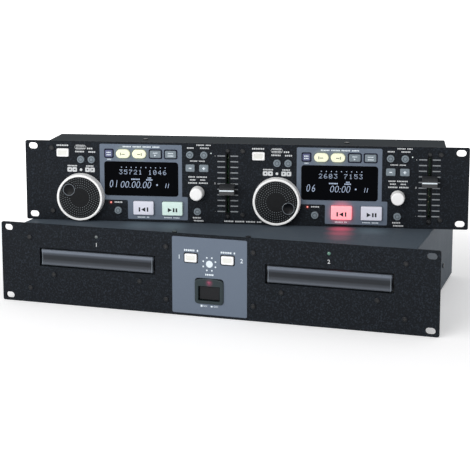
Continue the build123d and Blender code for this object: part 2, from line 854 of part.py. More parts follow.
# ---------------------------------------------------------------- drive unit: electronics
with BuildPart() as drive_electronics:
    # Main board across the rear, on posts
    with BuildSketch(drive_floor.offset(pan_floor + main_board_lift)):
        with Locations((0, chassis_back - main_board_back)):
            Rectangle(main_board_width, main_board_depth)
    extrude(amount=board_thickness)
    with BuildSketch(drive_floor.offset(pan_floor + rest_gap)):
        with Locations((0, chassis_back - main_board_back)):
            with GridLocations(*main_post_spacing, 4, 2):
                Circle(post_diameter / 2)
    extrude(amount=main_board_lift - rest_gap)
    # Power transformer between the loaders: mounting feet, core and winding
    with BuildSketch(drive_floor.offset(pan_floor + rest_gap)):
        with Locations((0, transformer_back)):
            Rectangle(transformer_width, transformer_length)
    extrude(amount=transformer_foot)
    with BuildSketch(drive_floor.offset(pan_floor + rest_gap + transformer_foot)):
        with Locations((0, transformer_back)):
            Rectangle(transformer_width, transformer_core)
    extrude(amount=transformer_height)
    with BuildSketch(drive_floor.offset(pan_floor + winding_lift)):
        with Locations((0, transformer_back)):
            RectangleRounded(winding_width, winding_length, winding_corner)
    extrude(amount=winding_height)
    # Key board behind the middle of the front wall, with its switches
    with BuildSketch(drive_face.offset(-key_board_depth)):
        with Locations((0, key_board_row)):
            Rectangle(key_board_width, key_board_height)
        power_opening(2 * power_bezel_wall, Mode.SUBTRACT)
    extrude(amount=-board_thickness)
    with BuildSketch(drive_face.offset(-key_board_depth)):
        with Locations(*open_button_places):
            Rectangle(switch_size, switch_size)
    extrude(amount=switch_height)
    with BuildSketch(drive_face.offset(-key_board_depth)):
        with Locations((0, key_post_row)):
            with GridLocations(*key_post_spacing, 2, 2):
                Circle(post_diameter / 2)
    extrude(amount=key_board_depth - chassis_front - sheet - rest_gap)
    # Power switch body behind its button, on a bracket from the pan
    bracket_foot = pan_floor + rest_gap - panel_height / 2
    with BuildSketch(drive_face.offset(-(power_button_back + power_travel + switch_gap))):
        with Locations((0, power_button_row)):
            Rectangle(switch_body_width, switch_body_height)
        with Locations((0, (power_button_row + bracket_foot) / 2)):
            Rectangle(switch_bracket_width, power_button_row - bracket_foot)
    extrude(amount=-switch_body_depth)
    # A lamp over each tray, on its own small board behind the front wall
    with BuildSketch(drive_face.offset(-(chassis_front + sheet + rest_gap))):
        with Locations(*lamp_places):
            RectangleRounded(lamp_board_size, lamp_board_size, key_corner)
    extrude(amount=-board_thickness)
    with BuildSketch(drive_face.offset(-(chassis_front + sheet + rest_gap))):
        with Locations(*lamp_places):
            Circle(lamp_diameter / 2 - screw_clearance)
    extrude(amount=chassis_front + sheet + rest_gap + lamp_proud)
    lamp_tips = drive_electronics.faces().sort_by(Axis((0, 0, 0), drive_face.z_dir))[-2:]
    fillet([edge for tip in lamp_tips for edge in tip.edges()], lamp_diameter / 4)
save(drive_electronics, "drive_electronics")


# ---------------------------------------------------------------- drive unit: rear sockets
def round_socket(place, body_depth):
    """A round socket for a cable between the units: body behind the wall, collar and groove."""
    with BuildSketch(place.offset(-sheet - rest_gap)) as body:
        Rectangle(remote_socket_body, remote_socket_body)
    extrude(body.sketch, amount=-body_depth)
    with BuildSketch(place.offset(-sheet - rest_gap)) as collar:
        Circle(remote_socket_diameter / 2)
    extrude(collar.sketch, amount=sheet + rest_gap + remote_socket_rise)
    groove_radius = remote_socket_diameter / 2 - remote_socket_wall
    with BuildSketch(place.offset(remote_socket_rise)) as groove:
        Circle(groove_radius)
        Circle(groove_radius - remote_socket_groove, mode=Mode.SUBTRACT)
    extrude(groove.sketch, amount=-remote_socket_depth, mode=Mode.SUBTRACT)


with BuildPart() as rear_sockets:
    for x, y in audio_places:
        place = spot(rear_face, x, y)
        with BuildSketch(place.offset(-sheet - rest_gap)):
            Rectangle(audio_body_width, audio_socket_pitch - audio_body_gap)
        extrude(amount=-socket_body_depth)
        with BuildSketch(place.offset(-sheet - rest_gap)):
            Circle(audio_boss_diameter / 2)
        extrude(amount=sheet + rest_gap + audio_socket_boss)
        with BuildSketch(place.offset(audio_socket_boss)):
            Circle(audio_socket_diameter / 2)
        extrude(amount=socket_length - audio_socket_boss)
        with BuildSketch(place.offset(socket_length)):
            Circle(audio_socket_diameter / 2 - audio_socket_wall)
            Circle(audio_core_diameter / 2, mode=Mode.SUBTRACT)
            Circle(audio_bore_diameter / 2)
        extrude(amount=audio_bore_floor - socket_length, mode=Mode.SUBTRACT)
    for x, y in remote_places:
        round_socket(spot(rear_face, x, y), socket_body_depth)
    place = spot(rear_face, *inlet_place)
    with BuildSketch(place.offset(rest_gap)):
        RectangleRounded(inlet_flange_width, inlet_flange_height, inlet_flange_corner)
    extrude(amount=inlet_flange_rise)
    with BuildSketch(place.offset(rest_gap)):
        SlotOverall(*inlet_body)
    extrude(amount=-inlet_depth - inlet_floor)
    with BuildSketch(place.offset(rest_gap + inlet_flange_rise)):
        SlotOverall(inlet_width, inlet_height)
        with Locations((-inlet_pin_spacing / 2, 0), (inlet_pin_spacing / 2, 0)):
            Circle(inlet_pin_diameter / 2, mode=Mode.SUBTRACT)
    extrude(amount=-inlet_depth, mode=Mode.SUBTRACT)
save(rear_sockets, "rear_sockets")


# ---------------------------------------------------------------- controller: panel and case
def deck_spots(x, y):
    """A feature's places on the controller's panel, one for each deck."""
    return [(deck_x + x, y) for deck_x in deck_places]


fader_screw_spots = [
    place
    for rise in (-fader_screw_spacing / 2, fader_screw_spacing / 2)
    for place in deck_spots(fader_x, fader_y + rise)
]
shaft_hole = select_shaft_diameter / 2 + through_clearance
hub_hole = ring_hub_diameter / 2 + through_clearance

with BuildPart() as controller_panel:
    with BuildSketch(controller_face.offset(-panel_thickness)):
        rack_panel_outline()
        for form, x, y in deck_keys.values():
            with Locations(*deck_spots(x, y)):
                key_outline(form, key_clearance, Mode.SUBTRACT)
        with Locations(*deck_spots(window_x, window_y)):
            RectangleRounded(
                window_width + 2 * window_clearance, window_height + 2 * window_clearance,
                window_corner + window_clearance, mode=Mode.SUBTRACT,
            )
        with Locations(*deck_spots(jog_x, jog_y)):
            Circle(hub_hole, mode=Mode.SUBTRACT)
        with Locations(*deck_spots(select_x, select_y)):
            Circle(shaft_hole, mode=Mode.SUBTRACT)
        with Locations(*deck_spots(fader_x, fader_y)):
            SlotOverall(fader_slot_length, fader_slot_width, rotation=90, mode=Mode.SUBTRACT)
        with Locations(*controller_screw_places):
            Circle(panel_screw_shank / 2 + screw_clearance, mode=Mode.SUBTRACT)
        with Locations(*fader_screw_spots):
            Circle(fader_screw_shank / 2 + screw_clearance, mode=Mode.SUBTRACT)
    extrude(amount=panel_thickness)
    chamfer(front_of(controller_panel, controller_face).outer_wire().edges(), panel_edge)
save(controller_panel, "controller_panel")

case_tab_top = panel_height / 2 - case_drop - case_tab / 2
case_tab_low = foot_height + case_tab / 2 - panel_height / 2
case_rise = panel_height - case_drop - foot_height
case_screw_places = [(side * controller_lid_screw_x, controller_lid_screw_back) for side in (-1, 1)]
controller_sockets_at = [(side * controller_socket_spacing / 2, controller_socket_row) for side in (-1, 1)]
controller_rear = Plane(
    origin=controller_floor.from_local_coords(Vector(0, controller_depth, 0)),
    x_dir=-controller_face.x_dir,
    z_dir=-controller_face.z_dir,
)
with BuildPart() as controller_case:
    with BuildSketch(controller_floor.offset(foot_height)):
        with Locations((0, (case_front + controller_depth) / 2)):
            Rectangle(case_width, controller_depth - case_front)
    extrude(amount=case_rise)
    long_edges = controller_case.edges().filter_by(Axis(controller_face.origin, controller_face.z_dir))
    fillet(long_edges, bend_radius)
    with BuildSketch(controller_floor.offset(foot_height + sheet)):
        with Locations((0, (case_front + controller_depth) / 2 - sheet)):
            Rectangle(case_width - 2 * sheet, controller_depth - case_front)
    extrude(amount=case_rise - 2 * sheet, mode=Mode.SUBTRACT)
    # Turned-in tabs that the panel's screws hold
    with BuildSketch(controller_face.offset(-case_front)):
        with Locations(*controller_screw_places):
            RectangleRounded(case_tab, case_tab, case_tab_corner)
        with Locations(*[(x, case_tab_top if y > 0 else case_tab_low) for x, y in controller_screw_places]):
            Rectangle(case_tab, case_tab)
    extrude(amount=-sheet)
    with BuildSketch(controller_face.offset(-case_front)):
        with Locations(*controller_screw_places):
            Circle(panel_screw_shank / 2 + screw_clearance)
    extrude(amount=-2 * sheet, mode=Mode.SUBTRACT)
    foot_x = case_width / 2 - controller_foot_side
    controller_feet = [(side * foot_x, controller_depth - controller_foot_back) for side in (-1, 1)]
    pressed_feet(controller_floor, controller_feet)
    with BuildSketch(controller_rear):
        with Locations(*controller_sockets_at):
            Circle(remote_socket_diameter / 2 + screw_clearance)
    extrude(amount=-2 * sheet, mode=Mode.SUBTRACT)
    with BuildSketch(controller_floor.offset(foot_height + case_rise)):
        with Locations(*case_screw_places):
            Circle(panel_screw_shank / 2 + screw_clearance)
    extrude(amount=-2 * sheet, mode=Mode.SUBTRACT)
save(controller_case, "controller_case")

with BuildPart() as controller_screws:
    with Locations(*[spot(controller_face, x, y, rest_gap).location for x, y in controller_screw_places]):
        add(panel_screw.part)
    with Locations(*[spot(controller_face, x, y, rest_gap).location for x, y in fader_screw_spots]):
        add(fader_screw.part)
    case_top = foot_height + case_rise + rest_gap
    with Locations(*[spot(controller_floor, x, y, case_top).location for x, y in case_screw_places]):
        add(case_screw.part)
save(controller_screws, "controller_screws")

with BuildPart() as display_windows:
    with BuildSketch(controller_face.offset(-window_sunk)):
        with Locations(*deck_spots(window_x, window_y)):
            RectangleRounded(window_width, window_height, window_corner)
    extrude(amount=-(panel_thickness - window_sunk + rest_gap))
    with BuildSketch(controller_face.offset(-panel_thickness - rest_gap)):
        with Locations(*deck_spots(window_x, window_y)):
            RectangleRounded(
                window_width + 2 * window_border,
                window_height + 2 * window_border,
                window_corner + window_border,
            )
    extrude(amount=-(window_thickness - panel_thickness))
save(display_windows, "display_windows")

# ---------------------------------------------------------------- controller: moving pieces
stem_end = board_depth - switch_height - key_travel - switch_gap
key_prouds = {"oval": oval_key_proud, "big": big_key_proud}

for index, deck_x in enumerate(deck_places):
    for name, (form, x, y) in deck_keys.items():
        place = spot(controller_face, deck_x + x, y)
        proud = key_prouds.get(form, key_proud)
        cap = key_cap(place, form, proud, key_edge, stem_end, dished=form == "wide")
        save(cap, numbered(name, index))

    jog = spot(controller_face, deck_x + jog_x, jog_y)
    radial = Plane(origin=jog.origin, x_dir=jog.x_dir, z_dir=-jog.y_dir)
    jog_axis = Axis(jog.origin, jog.z_dir)
    encoder_top = -(board_depth - switch_height - switch_gap)
    inner = ring_top_diameter / 2 - ring_rim
    hub = ring_hub_diameter / 2
    with BuildPart() as shuttle_ring:
        with BuildSketch(radial) as ring_profile:
            with BuildLine():
                Polyline(
                    (hub - ring_hub_wall, encoder_top),
                    (hub, encoder_top),
                    (hub, running_gap),
                    (ring_diameter / 2, running_gap),
                    (ring_top_diameter / 2, ring_height),
                    (inner, ring_height),
                    (inner, running_gap + ring_web),
                    (hub - ring_hub_wall, running_gap + ring_web),
                    close=True,
                )
            make_face()
        revolve(axis=jog_axis)
        rim_edges = shuttle_ring.edges().sort_by(Axis((0, 0, 0), jog.z_dir))[-2:]
        fillet(rim_edges, ring_rim * 0.3)
    save(shuttle_ring, numbered("shuttle_ring", index))

    jog_radius = inner - running_gap
    jog_top = ring_height - jog_sunk
    with BuildPart() as jog_disc:
        with BuildSketch(radial):
            with BuildLine():
                Polyline(
                    (0, encoder_top),
                    (jog_shaft_diameter / 2, encoder_top),
                    (jog_shaft_diameter / 2, jog_top - jog_thickness),
                    (jog_radius - jog_thickness, jog_top - jog_thickness),
                    (jog_radius - jog_thickness, jog_top - jog_skirt),
                    (jog_radius, jog_top - jog_skirt),
                    (jog_radius, jog_top),
                    (0, jog_top),
                    close=True,
                )
            make_face()
        revolve(axis=jog_axis)
        fillet(front_of(jog_disc, jog).edges(), jog_edge)
        # Finger dimple: a shallow scoop of a large ball
        scoop = (dimple_diameter**2 / 4 + dimple_depth**2) / (2 * dimple_depth)
        reach = math.radians(dimple_angles[index])
        dimple = spot(jog, dimple_reach * math.cos(reach), dimple_reach * math.sin(reach), jog_top)
        with Locations(dimple.offset(scoop - dimple_depth).location):
            Sphere(scoop, mode=Mode.SUBTRACT)
    save(jog_disc, numbered("jog_disc", index))

    select = spot(controller_face, deck_x + select_x, select_y)
    knob_foot = running_gap + select_travel
    shaft_top = knob_foot + select_shaft_bite
    with BuildPart() as select_shaft:
        with BuildSketch(select.offset(shaft_top)):
            Circle(select_shaft_diameter / 2)
        extrude(amount=-(shaft_top - encoder_top - select_travel))
    save(select_shaft, numbered("select_shaft", index))

    with BuildPart() as select_knob:
        with BuildSketch(select.offset(knob_foot)):
            Circle(select_knob_diameter / 2)
        with BuildSketch(select.offset(knob_foot + select_knob_height)):
            Circle(select_knob_top / 2)
        loft()
        fillet(front_of(select_knob, select).edges(), select_knob_edge)
        with BuildSketch(select.offset(knob_foot)):
            Circle(select_shaft_diameter / 2 + select_shaft_fit)
        extrude(amount=select_shaft_bite + rest_gap, mode=Mode.SUBTRACT)
    save(select_knob, numbered("select_knob", index))

    fader = spot(controller_face, deck_x + fader_x, fader_y + fader_rest[index])
    with BuildPart() as fader_cap:
        # Side view of the cap: sloping sides and a scooped top
        with BuildSketch(Plane(origin=fader.origin, x_dir=fader.z_dir, z_dir=fader.x_dir)):
            high = fader_cap_lift + fader_cap_height
            with BuildLine():
                Polyline(
                    (high, -fader_cap_top / 2),
                    (fader_cap_lift, -fader_cap_length / 2),
                    (fader_cap_lift, fader_cap_length / 2),
                    (high, fader_cap_top / 2),
                )
                ThreePointArc(
                    (high, fader_cap_top / 2), (high - fader_cap_scoop, 0), (high, -fader_cap_top / 2)
                )
            make_face()
        extrude(amount=fader_cap_width / 2, both=True)
        with BuildSketch(fader.offset(fader_cap_lift)):
            Rectangle(fader_lever_thickness, fader_lever_width)
        extrude(amount=-(fader_cap_lift + panel_thickness + fader_body_depth - fader_body_floor))
    save(fader_cap, numbered("fader_cap", index))

# ---------------------------------------------------------------- controller: electronics
with BuildPart() as controller_electronics:
    # Board on posts behind the panel, with a switch under each key
    with BuildSketch(controller_face.offset(-board_depth)):
        with Locations((0, board_lift)):
            Rectangle(board_width, board_height)
    extrude(amount=-board_thickness)
    with BuildSketch(controller_face.offset(-board_depth)):
        for _, x, y in deck_keys.values():
            with Locations(*deck_spots(x, y)):
                Rectangle(switch_size, switch_size)
    extrude(amount=switch_height)
    with BuildSketch(controller_face.offset(-board_depth)):
        with Locations(*deck_spots(jog_x, jog_y)):
            Circle(ring_hub_diameter / 2 + encoder_rim)
        with Locations(*deck_spots(select_x, select_y)):
            Circle(select_shaft_diameter)
    extrude(amount=switch_height)
    with BuildSketch(controller_face.offset(-board_depth)):
        for x in post_across:
            for y in (panel_height / 2 - post_drop, post_rise - panel_height / 2):
                with Locations(*deck_spots(x, y)):
                    Circle(post_diameter / 2)
    extrude(amount=board_depth - panel_thickness - rest_gap)
    # Display modules on their own posts
    module_front = window_thickness + display_module_gap
    with BuildSketch(controller_face.offset(-module_front)):
        with Locations(*deck_spots(window_x, window_y)):
            Rectangle(window_width + display_module_border[0], window_height + display_module_border[1])
    extrude(amount=-display_module_depth)
    with BuildSketch(controller_face.offset(-board_depth)):
        for side in (-1, 1):
            with Locations(*deck_spots(window_x + side * display_post_spacing / 2, window_y)):
                Circle(post_diameter / 2)
    extrude(amount=board_depth - module_front - display_module_depth)
    # Fader bodies under their slots
    with BuildSketch(controller_face.offset(-panel_thickness - rest_gap)):
        with Locations(*deck_spots(fader_x, fader_y)):
            Rectangle(fader_body_width, fader_body_length)
            SlotOverall(fader_slot_length, fader_slot_width, rotation=90, mode=Mode.SUBTRACT)
        with Locations(*fader_screw_spots):
            Circle(fader_screw_shank / 2 + screw_clearance, mode=Mode.SUBTRACT)
    extrude(amount=-fader_body_depth)
    with BuildSketch(controller_face.offset(-panel_thickness - rest_gap - fader_body_depth)):
        with Locations(*deck_spots(fader_x, fader_y)):
            Rectangle(fader_body_width, fader_body_length)
    extrude(amount=-(board_depth - panel_thickness - rest_gap - fader_body_depth))
    # Sockets for the cables to the drive, on the rear wall
    for x, y in controller_sockets_at:
        round_socket(spot(controller_rear, x, y), remote_body_depth)
save(controller_electronics, "controller_electronics")
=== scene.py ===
import json
import math

import bmesh
import bpy
from mathutils import Matrix, Vector


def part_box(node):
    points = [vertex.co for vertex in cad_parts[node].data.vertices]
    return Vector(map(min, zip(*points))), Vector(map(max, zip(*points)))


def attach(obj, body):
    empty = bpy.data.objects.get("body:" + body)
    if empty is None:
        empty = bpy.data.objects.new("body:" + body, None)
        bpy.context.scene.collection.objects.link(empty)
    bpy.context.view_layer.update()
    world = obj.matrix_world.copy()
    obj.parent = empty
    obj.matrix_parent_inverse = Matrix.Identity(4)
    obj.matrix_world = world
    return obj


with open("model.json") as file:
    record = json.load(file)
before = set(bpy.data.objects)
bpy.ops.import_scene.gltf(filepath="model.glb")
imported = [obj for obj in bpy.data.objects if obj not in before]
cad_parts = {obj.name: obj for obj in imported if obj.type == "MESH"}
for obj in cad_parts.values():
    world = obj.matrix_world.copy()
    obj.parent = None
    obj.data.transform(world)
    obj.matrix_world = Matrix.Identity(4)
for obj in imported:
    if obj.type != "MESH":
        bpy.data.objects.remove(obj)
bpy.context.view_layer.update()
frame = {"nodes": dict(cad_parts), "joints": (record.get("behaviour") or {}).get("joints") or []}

bl_info = {
    "name": "Two-deck disc player",
    "version": (1, 0, 0),
    "blender": (4, 5, 0),
    "location": "View3D > Sidebar > Disc player",
    "description": "Dresses the packed two-deck disc player and its remote controller",
    "category": "Add Mesh",
}

# ---------------------------------------------------------------- faces of the two units
MM = 0.001
DECKS = ("1", "2")
UP = Vector((0, 0, 1))


def joint(name):
    """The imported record's joint of that name."""
    return next(row for row in frame["joints"] if row["name"] == name)


def face_matrix(origin, normal):
    """A face's own axes in metres: x to the right, y up and z towards the user."""
    normal = Vector(normal).normalized()
    matrix = Matrix((UP.cross(normal), UP, normal)).transposed().to_4x4()
    matrix.translation = origin
    return matrix


panel_low, panel_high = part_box("drive_front_panel")
panel_middle = (panel_low + panel_high) / 2
DRIVE = face_matrix((panel_middle.x, panel_low.y, panel_middle.z), (0, -1, 0))
REAR = face_matrix((panel_middle.x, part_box("drive_chassis")[1].y, 0), (0, 1, 0))
outward = Vector(joint("jog_disc_1_turn")["axis"])
remote_low, remote_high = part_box("controller_panel")
remote_middle = (remote_low + remote_high) / 2
jog_foot = Vector(joint("jog_disc_1_turn")["pos_m"])
REMOTE = face_matrix(remote_middle + outward * (jog_foot - remote_middle).dot(outward), outward)


def on_face(face, place):
    """A world point in metres as x, y, z on a face in millimetres."""
    return face.inverted() @ Vector(place) / MM


def off_face(face, x, y, z=0.0):
    """A place on a face in millimetres as a world point in metres."""
    return face @ (Vector((x, y, z)) * MM)


def span(node, face):
    """Lowest and highest corner of a CAD node on a face, in millimetres."""
    inverse = face.inverted()
    points = [inverse @ vertex.co / MM for vertex in frame["nodes"][node].data.vertices]
    low = Vector(min(point[i] for point in points) for i in range(3))
    high = Vector(max(point[i] for point in points) for i in range(3))
    return low, high


# Half the tray fronts' height, their middle height, and how far back their satin face reaches
TRAY_RISE = 0.0086
TRAY_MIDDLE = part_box("tray_1")[1].z - TRAY_RISE
TRAY_FACE = panel_low.y + 0.0051
JOGS = {deck: on_face(REMOTE, joint(f"jog_disc_{deck}_turn")["pos_m"]) for deck in DECKS}
DECK_STEP = JOGS["2"].x - JOGS["1"].x
MIDDLES = {"1": -DECK_STEP / 2, "2": DECK_STEP / 2}


# ---------------------------------------------------------------- settings
def shade(red, green, blue):
    """A screen colour from 0 to 255 as Blender's own linear colour."""
    parts = [value / 255 for value in (red, green, blue)]
    return tuple(v / 12.92 if v <= 0.04045 else ((v + 0.055) / 1.055) ** 2.4 for v in parts)


def colour_setting(title, about, red, green, blue):
    """A colour that the user may change, given as a screen colour."""
    return bpy.props.FloatVectorProperty(
        name=title, description=about, subtype="COLOR", size=3, min=0, max=1, default=shade(red, green, blue)
    )


def length_setting(title, about, metres):
    """A length that the user may change."""
    return bpy.props.FloatProperty(
        name=title, description=about, subtype="DISTANCE", unit="LENGTH", default=metres, min=0
    )


def level_setting(title, about, level, unit="NONE"):
    """A strength of light that the user may change."""
    return bpy.props.FloatProperty(name=title, description=about, unit=unit, default=level, min=0)


class DiscPlayerColours(bpy.types.PropertyGroup):
    panel: colour_setting("Panel", "Powder coat of both front panels", 16, 20, 25)
    # The drive's case paint is set paler than the controller's case paint, partly as a painted reflection
    # standing for the sheen on the drive's lid
    case: colour_setting("Case", "Paint of the drive's folded case", 76, 85, 94)
    remote_case: colour_setting("Controller case", "Paint of the controller's folded case", 68, 72, 75)
    plate: colour_setting("Plate", "Blue-grey plates round the displays and the power switch", 101, 112, 127)
    ink: colour_setting("Ink", "White print", 205, 208, 210)
    white_key: colour_setting("White keys", "Open and close keys, knobs and rings", 249, 249, 249)
    grey_key: colour_setting("Grey keys", "Round, square, bar and bend keys", 122, 133, 141)
    oval_key: colour_setting("Oval keys", "Lit loop keys", 240, 242, 212)
    cue_key: colour_setting("Cue key", "First deck's cue key", 228, 229, 242)
    lit_cue_key: colour_setting("Lit cue key", "Second deck's cue key, lit from inside", 255, 190, 195)
    play_key: colour_setting("Play keys", "Play keys", 218, 241, 234)
    jog: colour_setting("Jog disc", "Top of the jog discs", 9, 11, 14)
    fader: colour_setting("Fader cap", "Pitch fader caps", 34, 36, 39)
    # The tray colour is scaled up and down across the front's height as painted highlight and painted shade
    tray: colour_setting("Tray front", "Brightest tone of the satin tray fronts", 104, 111, 122)
    glyph: colour_setting("Glyphs", "Light of the display's digits", 146, 160, 182)
    red_lamp: colour_setting("Red lamp", "Brake lamps", 240, 138, 128)
    tray_lamp: colour_setting("Tray lamps", "Smoked lenses over the trays", 66, 76, 76)


class DiscPlayerSizes(bpy.types.PropertyGroup):
    ink_height: length_setting("Ink height", "How far the print stands off the paint", 0.00004)
    plate_height: length_setting("Plate height", "Thickness of the blue-grey plates", 0.0003)
    dot_width: length_setting("Grip dot", "Width of one grip dot on a jog disc", 0.0011)
    dot_step: length_setting("Grip dot step", "Distance between grip dots", 0.00245)
    recess_width: length_setting("Cross recess", "Width of a screw's cross recess", 0.0032)


class DiscPlayerStage(bpy.types.PropertyGroup):
    floor: colour_setting("Floor", "Pale floor", 246, 246, 247)
    key_watts: level_setting("Key light", "Large light before the front", 21.5, "POWER")
    fill_watts: level_setting("Fill light", "Soft light from the left", 5.0, "POWER")
    sky: level_setting("Surround", "Level light from all sides", 0.62)


def colours():
    return bpy.context.scene.disc_player_colours


def sizes():
    return bpy.context.scene.disc_player_sizes


# ---------------------------------------------------------------- shapes
def rounded(x, y, width, height, corner, steps=5):
    """Outline of a rounded rectangle, in millimetres."""
    corner = max(min(corner, width / 2, height / 2), 0.001)
    outline = []
    for quarter, (side, rise) in enumerate(((1, 1), (-1, 1), (-1, -1), (1, -1))):
        middle = (x + side * (width / 2 - corner), y + rise * (height / 2 - corner))
        for step in range(steps + 1):
            angle = math.pi / 2 * (quarter + step / steps)
            outline.append((middle[0] + corner * math.cos(angle), middle[1] + corner * math.sin(angle)))
    return outline


def circle(x, y, radius, steps=28):
    """Outline of a circle, in millimetres."""
    return [
        (x + radius * math.cos(2 * math.pi * i / steps), y + radius * math.sin(2 * math.pi * i / steps))
        for i in range(steps)
    ]


def bar(x0, x1, y, height):
    """Outline of a printed bar with rounded ends."""
    return rounded((x0 + x1) / 2, y, x1 - x0, height, height * 0.3, 2)


def take_in(bm, thing):
    """Adds a curve's or text's mesh to a bmesh, and removes the curve."""
    bpy.context.scene.collection.objects.link(thing)
    bpy.context.view_layer.update()
    mesh = bpy.data.meshes.new_from_object(thing)
    bm.from_mesh(mesh)
    data = thing.data
    bpy.data.objects.remove(thing)
    bpy.data.curves.remove(data)
    bpy.data.meshes.remove(mesh)


def flat(bm, outlines, low, high):
    """Adds a flat shape between two heights. An outline inside another is a hole."""
    curve = bpy.data.curves.new("flat", "CURVE")
    curve.dimensions = "2D"
    curve.fill_mode = "BOTH"
    curve.extrude = (high - low) / 2
    for outline in outlines:
        spline = curve.splines.new("POLY")
        spline.points.add(len(outline) - 1)
        for point, (x, y) in zip(spline.points, outline):
            point.co = (x, y, 0, 1)
        spline.use_cyclic_u = True
    before = len(bm.verts)
    take_in(bm, bpy.data.objects.new("flat", curve))
    bm.verts.ensure_lookup_table()
    bmesh.ops.translate(bm, verts=bm.verts[before:], vec=(0, 0, (low + high) / 2))


def figures(bm, words, x, y, height, low, high, slant=0.0, wide=1.0, bold=0.0):
    """Adds plain figures or signs centred on a place; height is that of a figure."""
    curve = bpy.data.curves.new("figures", "FONT")
    curve.body = words
    curve.align_x = "CENTER"
    curve.align_y = "CENTER"
    curve.size = height / 0.72
    curve.shear = slant
    curve.offset = bold
    curve.resolution_u = 3
    curve.extrude = (high - low) / 2
    before = len(bm.verts)
    take_in(bm, bpy.data.objects.new("figures", curve))
    bm.verts.ensure_lookup_table()
    place = Matrix.Translation((x, y, (low + high) / 2)) @ Matrix.Diagonal((wide, 1, 1, 1))
    bmesh.ops.transform(bm, matrix=place, verts=bm.verts[before:])


def finish_piece(name, bm, face, finish, body, smooth=False):
    """Makes a finished mesh of the bmesh, puts it on the face and lets it ride on its body."""
    bmesh.ops.remove_doubles(bm, verts=bm.verts, dist=0.0005)
    bmesh.ops.recalc_face_normals(bm, faces=bm.faces)
    bmesh.ops.transform(bm, matrix=face @ Matrix.Scale(MM, 4), verts=bm.verts)
    for polygon in bm.faces:
        polygon.smooth = smooth
    mesh = bpy.data.meshes.new(name)
    bm.to_mesh(mesh)
    bm.free()
    mesh.materials.append(MATERIALS[finish])
    piece = bpy.data.objects.new(name, mesh)
    bpy.context.scene.collection.objects.link(piece)
    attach(piece, body)


def flat_piece(name, layers, face, finish, body):
    """A finished piece of flat shapes: each layer is its outlines, its lower and its upper height."""
    bm = bmesh.new()
    for outlines, low, high in layers:
        flat(bm, outlines, low, high)
    finish_piece(name, bm, face, finish, body)


def dome(bm, x, y, z, radius, rise, around=16, rings=8):
    """Adds a low dome, as a ball that is pressed flat."""
    place = Matrix.Translation((x, y, z)) @ Matrix.Diagonal((1, 1, rise / radius, 1))
    bmesh.ops.create_uvsphere(bm, u_segments=around, v_segments=rings, radius=radius, matrix=place)


def hoop(bm, x, y, z, radius, thickness, around=64, steps=8, flatten=1.0):
    """Adds a thin round hoop that lies flat on the face."""
    section = bmesh.ops.create_circle(bm, segments=steps, radius=thickness / 2)["verts"]
    turned = Matrix.Translation((x + radius, y, z)) @ Matrix.Diagonal((1, 1, flatten, 1)) @ Matrix.Rotation(
        math.pi / 2, 4, "X"
    )
    bmesh.ops.transform(bm, matrix=turned, verts=section)
    edges = list({edge for vertex in section for edge in vertex.link_edges})
    bmesh.ops.spin(
        bm, geom=edges, cent=(x, y, z), axis=(0, 0, 1), angle=2 * math.pi, steps=around, use_merge=True
    )


# ---------------------------------------------------------------- shared effects
def object_place(tree):
    """The object's own coordinates, which are world metres on every piece."""
    return tree.nodes.new("ShaderNodeTexCoord").outputs["Object"]


def noise(tree, place, scale, detail=3.0, rough=0.55):
    """A noise texture over the surface."""
    node = tree.nodes.new("ShaderNodeTexNoise")
    node.inputs["Scale"].default_value = scale
    node.inputs["Detail"].default_value = detail
    node.inputs["Roughness"].default_value = rough
    tree.links.new(place, node.inputs["Vector"])
    return node


def stretched(tree, place, scale):
    """Coordinates drawn out along an axis, for streaks."""
    node = tree.nodes.new("ShaderNodeMapping")
    node.inputs["Scale"].default_value = scale
    tree.links.new(place, node.inputs["Vector"])
    return node.outputs[0]


def apart(tree, place):
    """The three parts of a place."""
    node = tree.nodes.new("ShaderNodeSeparateXYZ")
    tree.links.new(place, node.inputs[0])
    return node.outputs


def distance_to(tree, place, centre):
    """Distance in metres from a world point."""
    node = tree.nodes.new("ShaderNodeVectorMath")
    node.operation = "DISTANCE"
    node.inputs[1].default_value = centre
    tree.links.new(place, node.inputs[0])
    return node.outputs["Value"]


def remapped(tree, value, low, high, to_low=0.0, to_high=1.0, shape="LINEAR"):
    """A value brought from one range to another, and held within it."""
    node = tree.nodes.new("ShaderNodeMapRange")
    node.interpolation_type = shape
    for title, end in (("From Min", low), ("From Max", high), ("To Min", to_low), ("To Max", to_high)):
        node.inputs[title].default_value = end
    tree.links.new(value, node.inputs["Value"])
    return node.outputs[0]


def bumped(tree, shader, height, strength, depth):
    """Relief of a few hundredths of a millimetre."""
    node = tree.nodes.new("ShaderNodeBump")
    node.inputs["Strength"].default_value = strength
    node.inputs["Distance"].default_value = depth
    tree.links.new(height, node.inputs["Height"])
    tree.links.new(node.outputs[0], shader.inputs["Normal"])


def scattered(tree, place, scale, within):
    """A mask of small round spots scattered over the surface."""
    node = tree.nodes.new("ShaderNodeTexVoronoi")
    node.inputs["Scale"].default_value = scale
    tree.links.new(place, node.inputs["Vector"])
    return math_node(tree, "LESS_THAN", node.outputs["Distance"], within)


def math_node(tree, operation, first, second=0.5, third=None, clamp=False):
    """A sum of numbers or of other nodes' results."""
    node = tree.nodes.new("ShaderNodeMath")
    node.operation = operation
    node.use_clamp = clamp
    for socket, value in zip(node.inputs, (first, second, third)):
        if value is None:
            continue
        if isinstance(value, bpy.types.NodeSocket):
            tree.links.new(value, socket)
        else:
            socket.default_value = value
    return node.outputs[0]


def blend_colour(tree, factor, first, second):
    """A colour between two others."""
    node = tree.nodes.new("ShaderNodeMix")
    node.data_type = "RGBA"
    for index, value in ((0, factor), (6, first), (7, second)):
        if isinstance(value, bpy.types.NodeSocket):
            tree.links.new(value, node.inputs[index])
        elif index == 0:
            node.inputs[index].default_value = value
        else:
            node.inputs[index].default_value = (*value[:3], 1)
    return node.outputs[2]


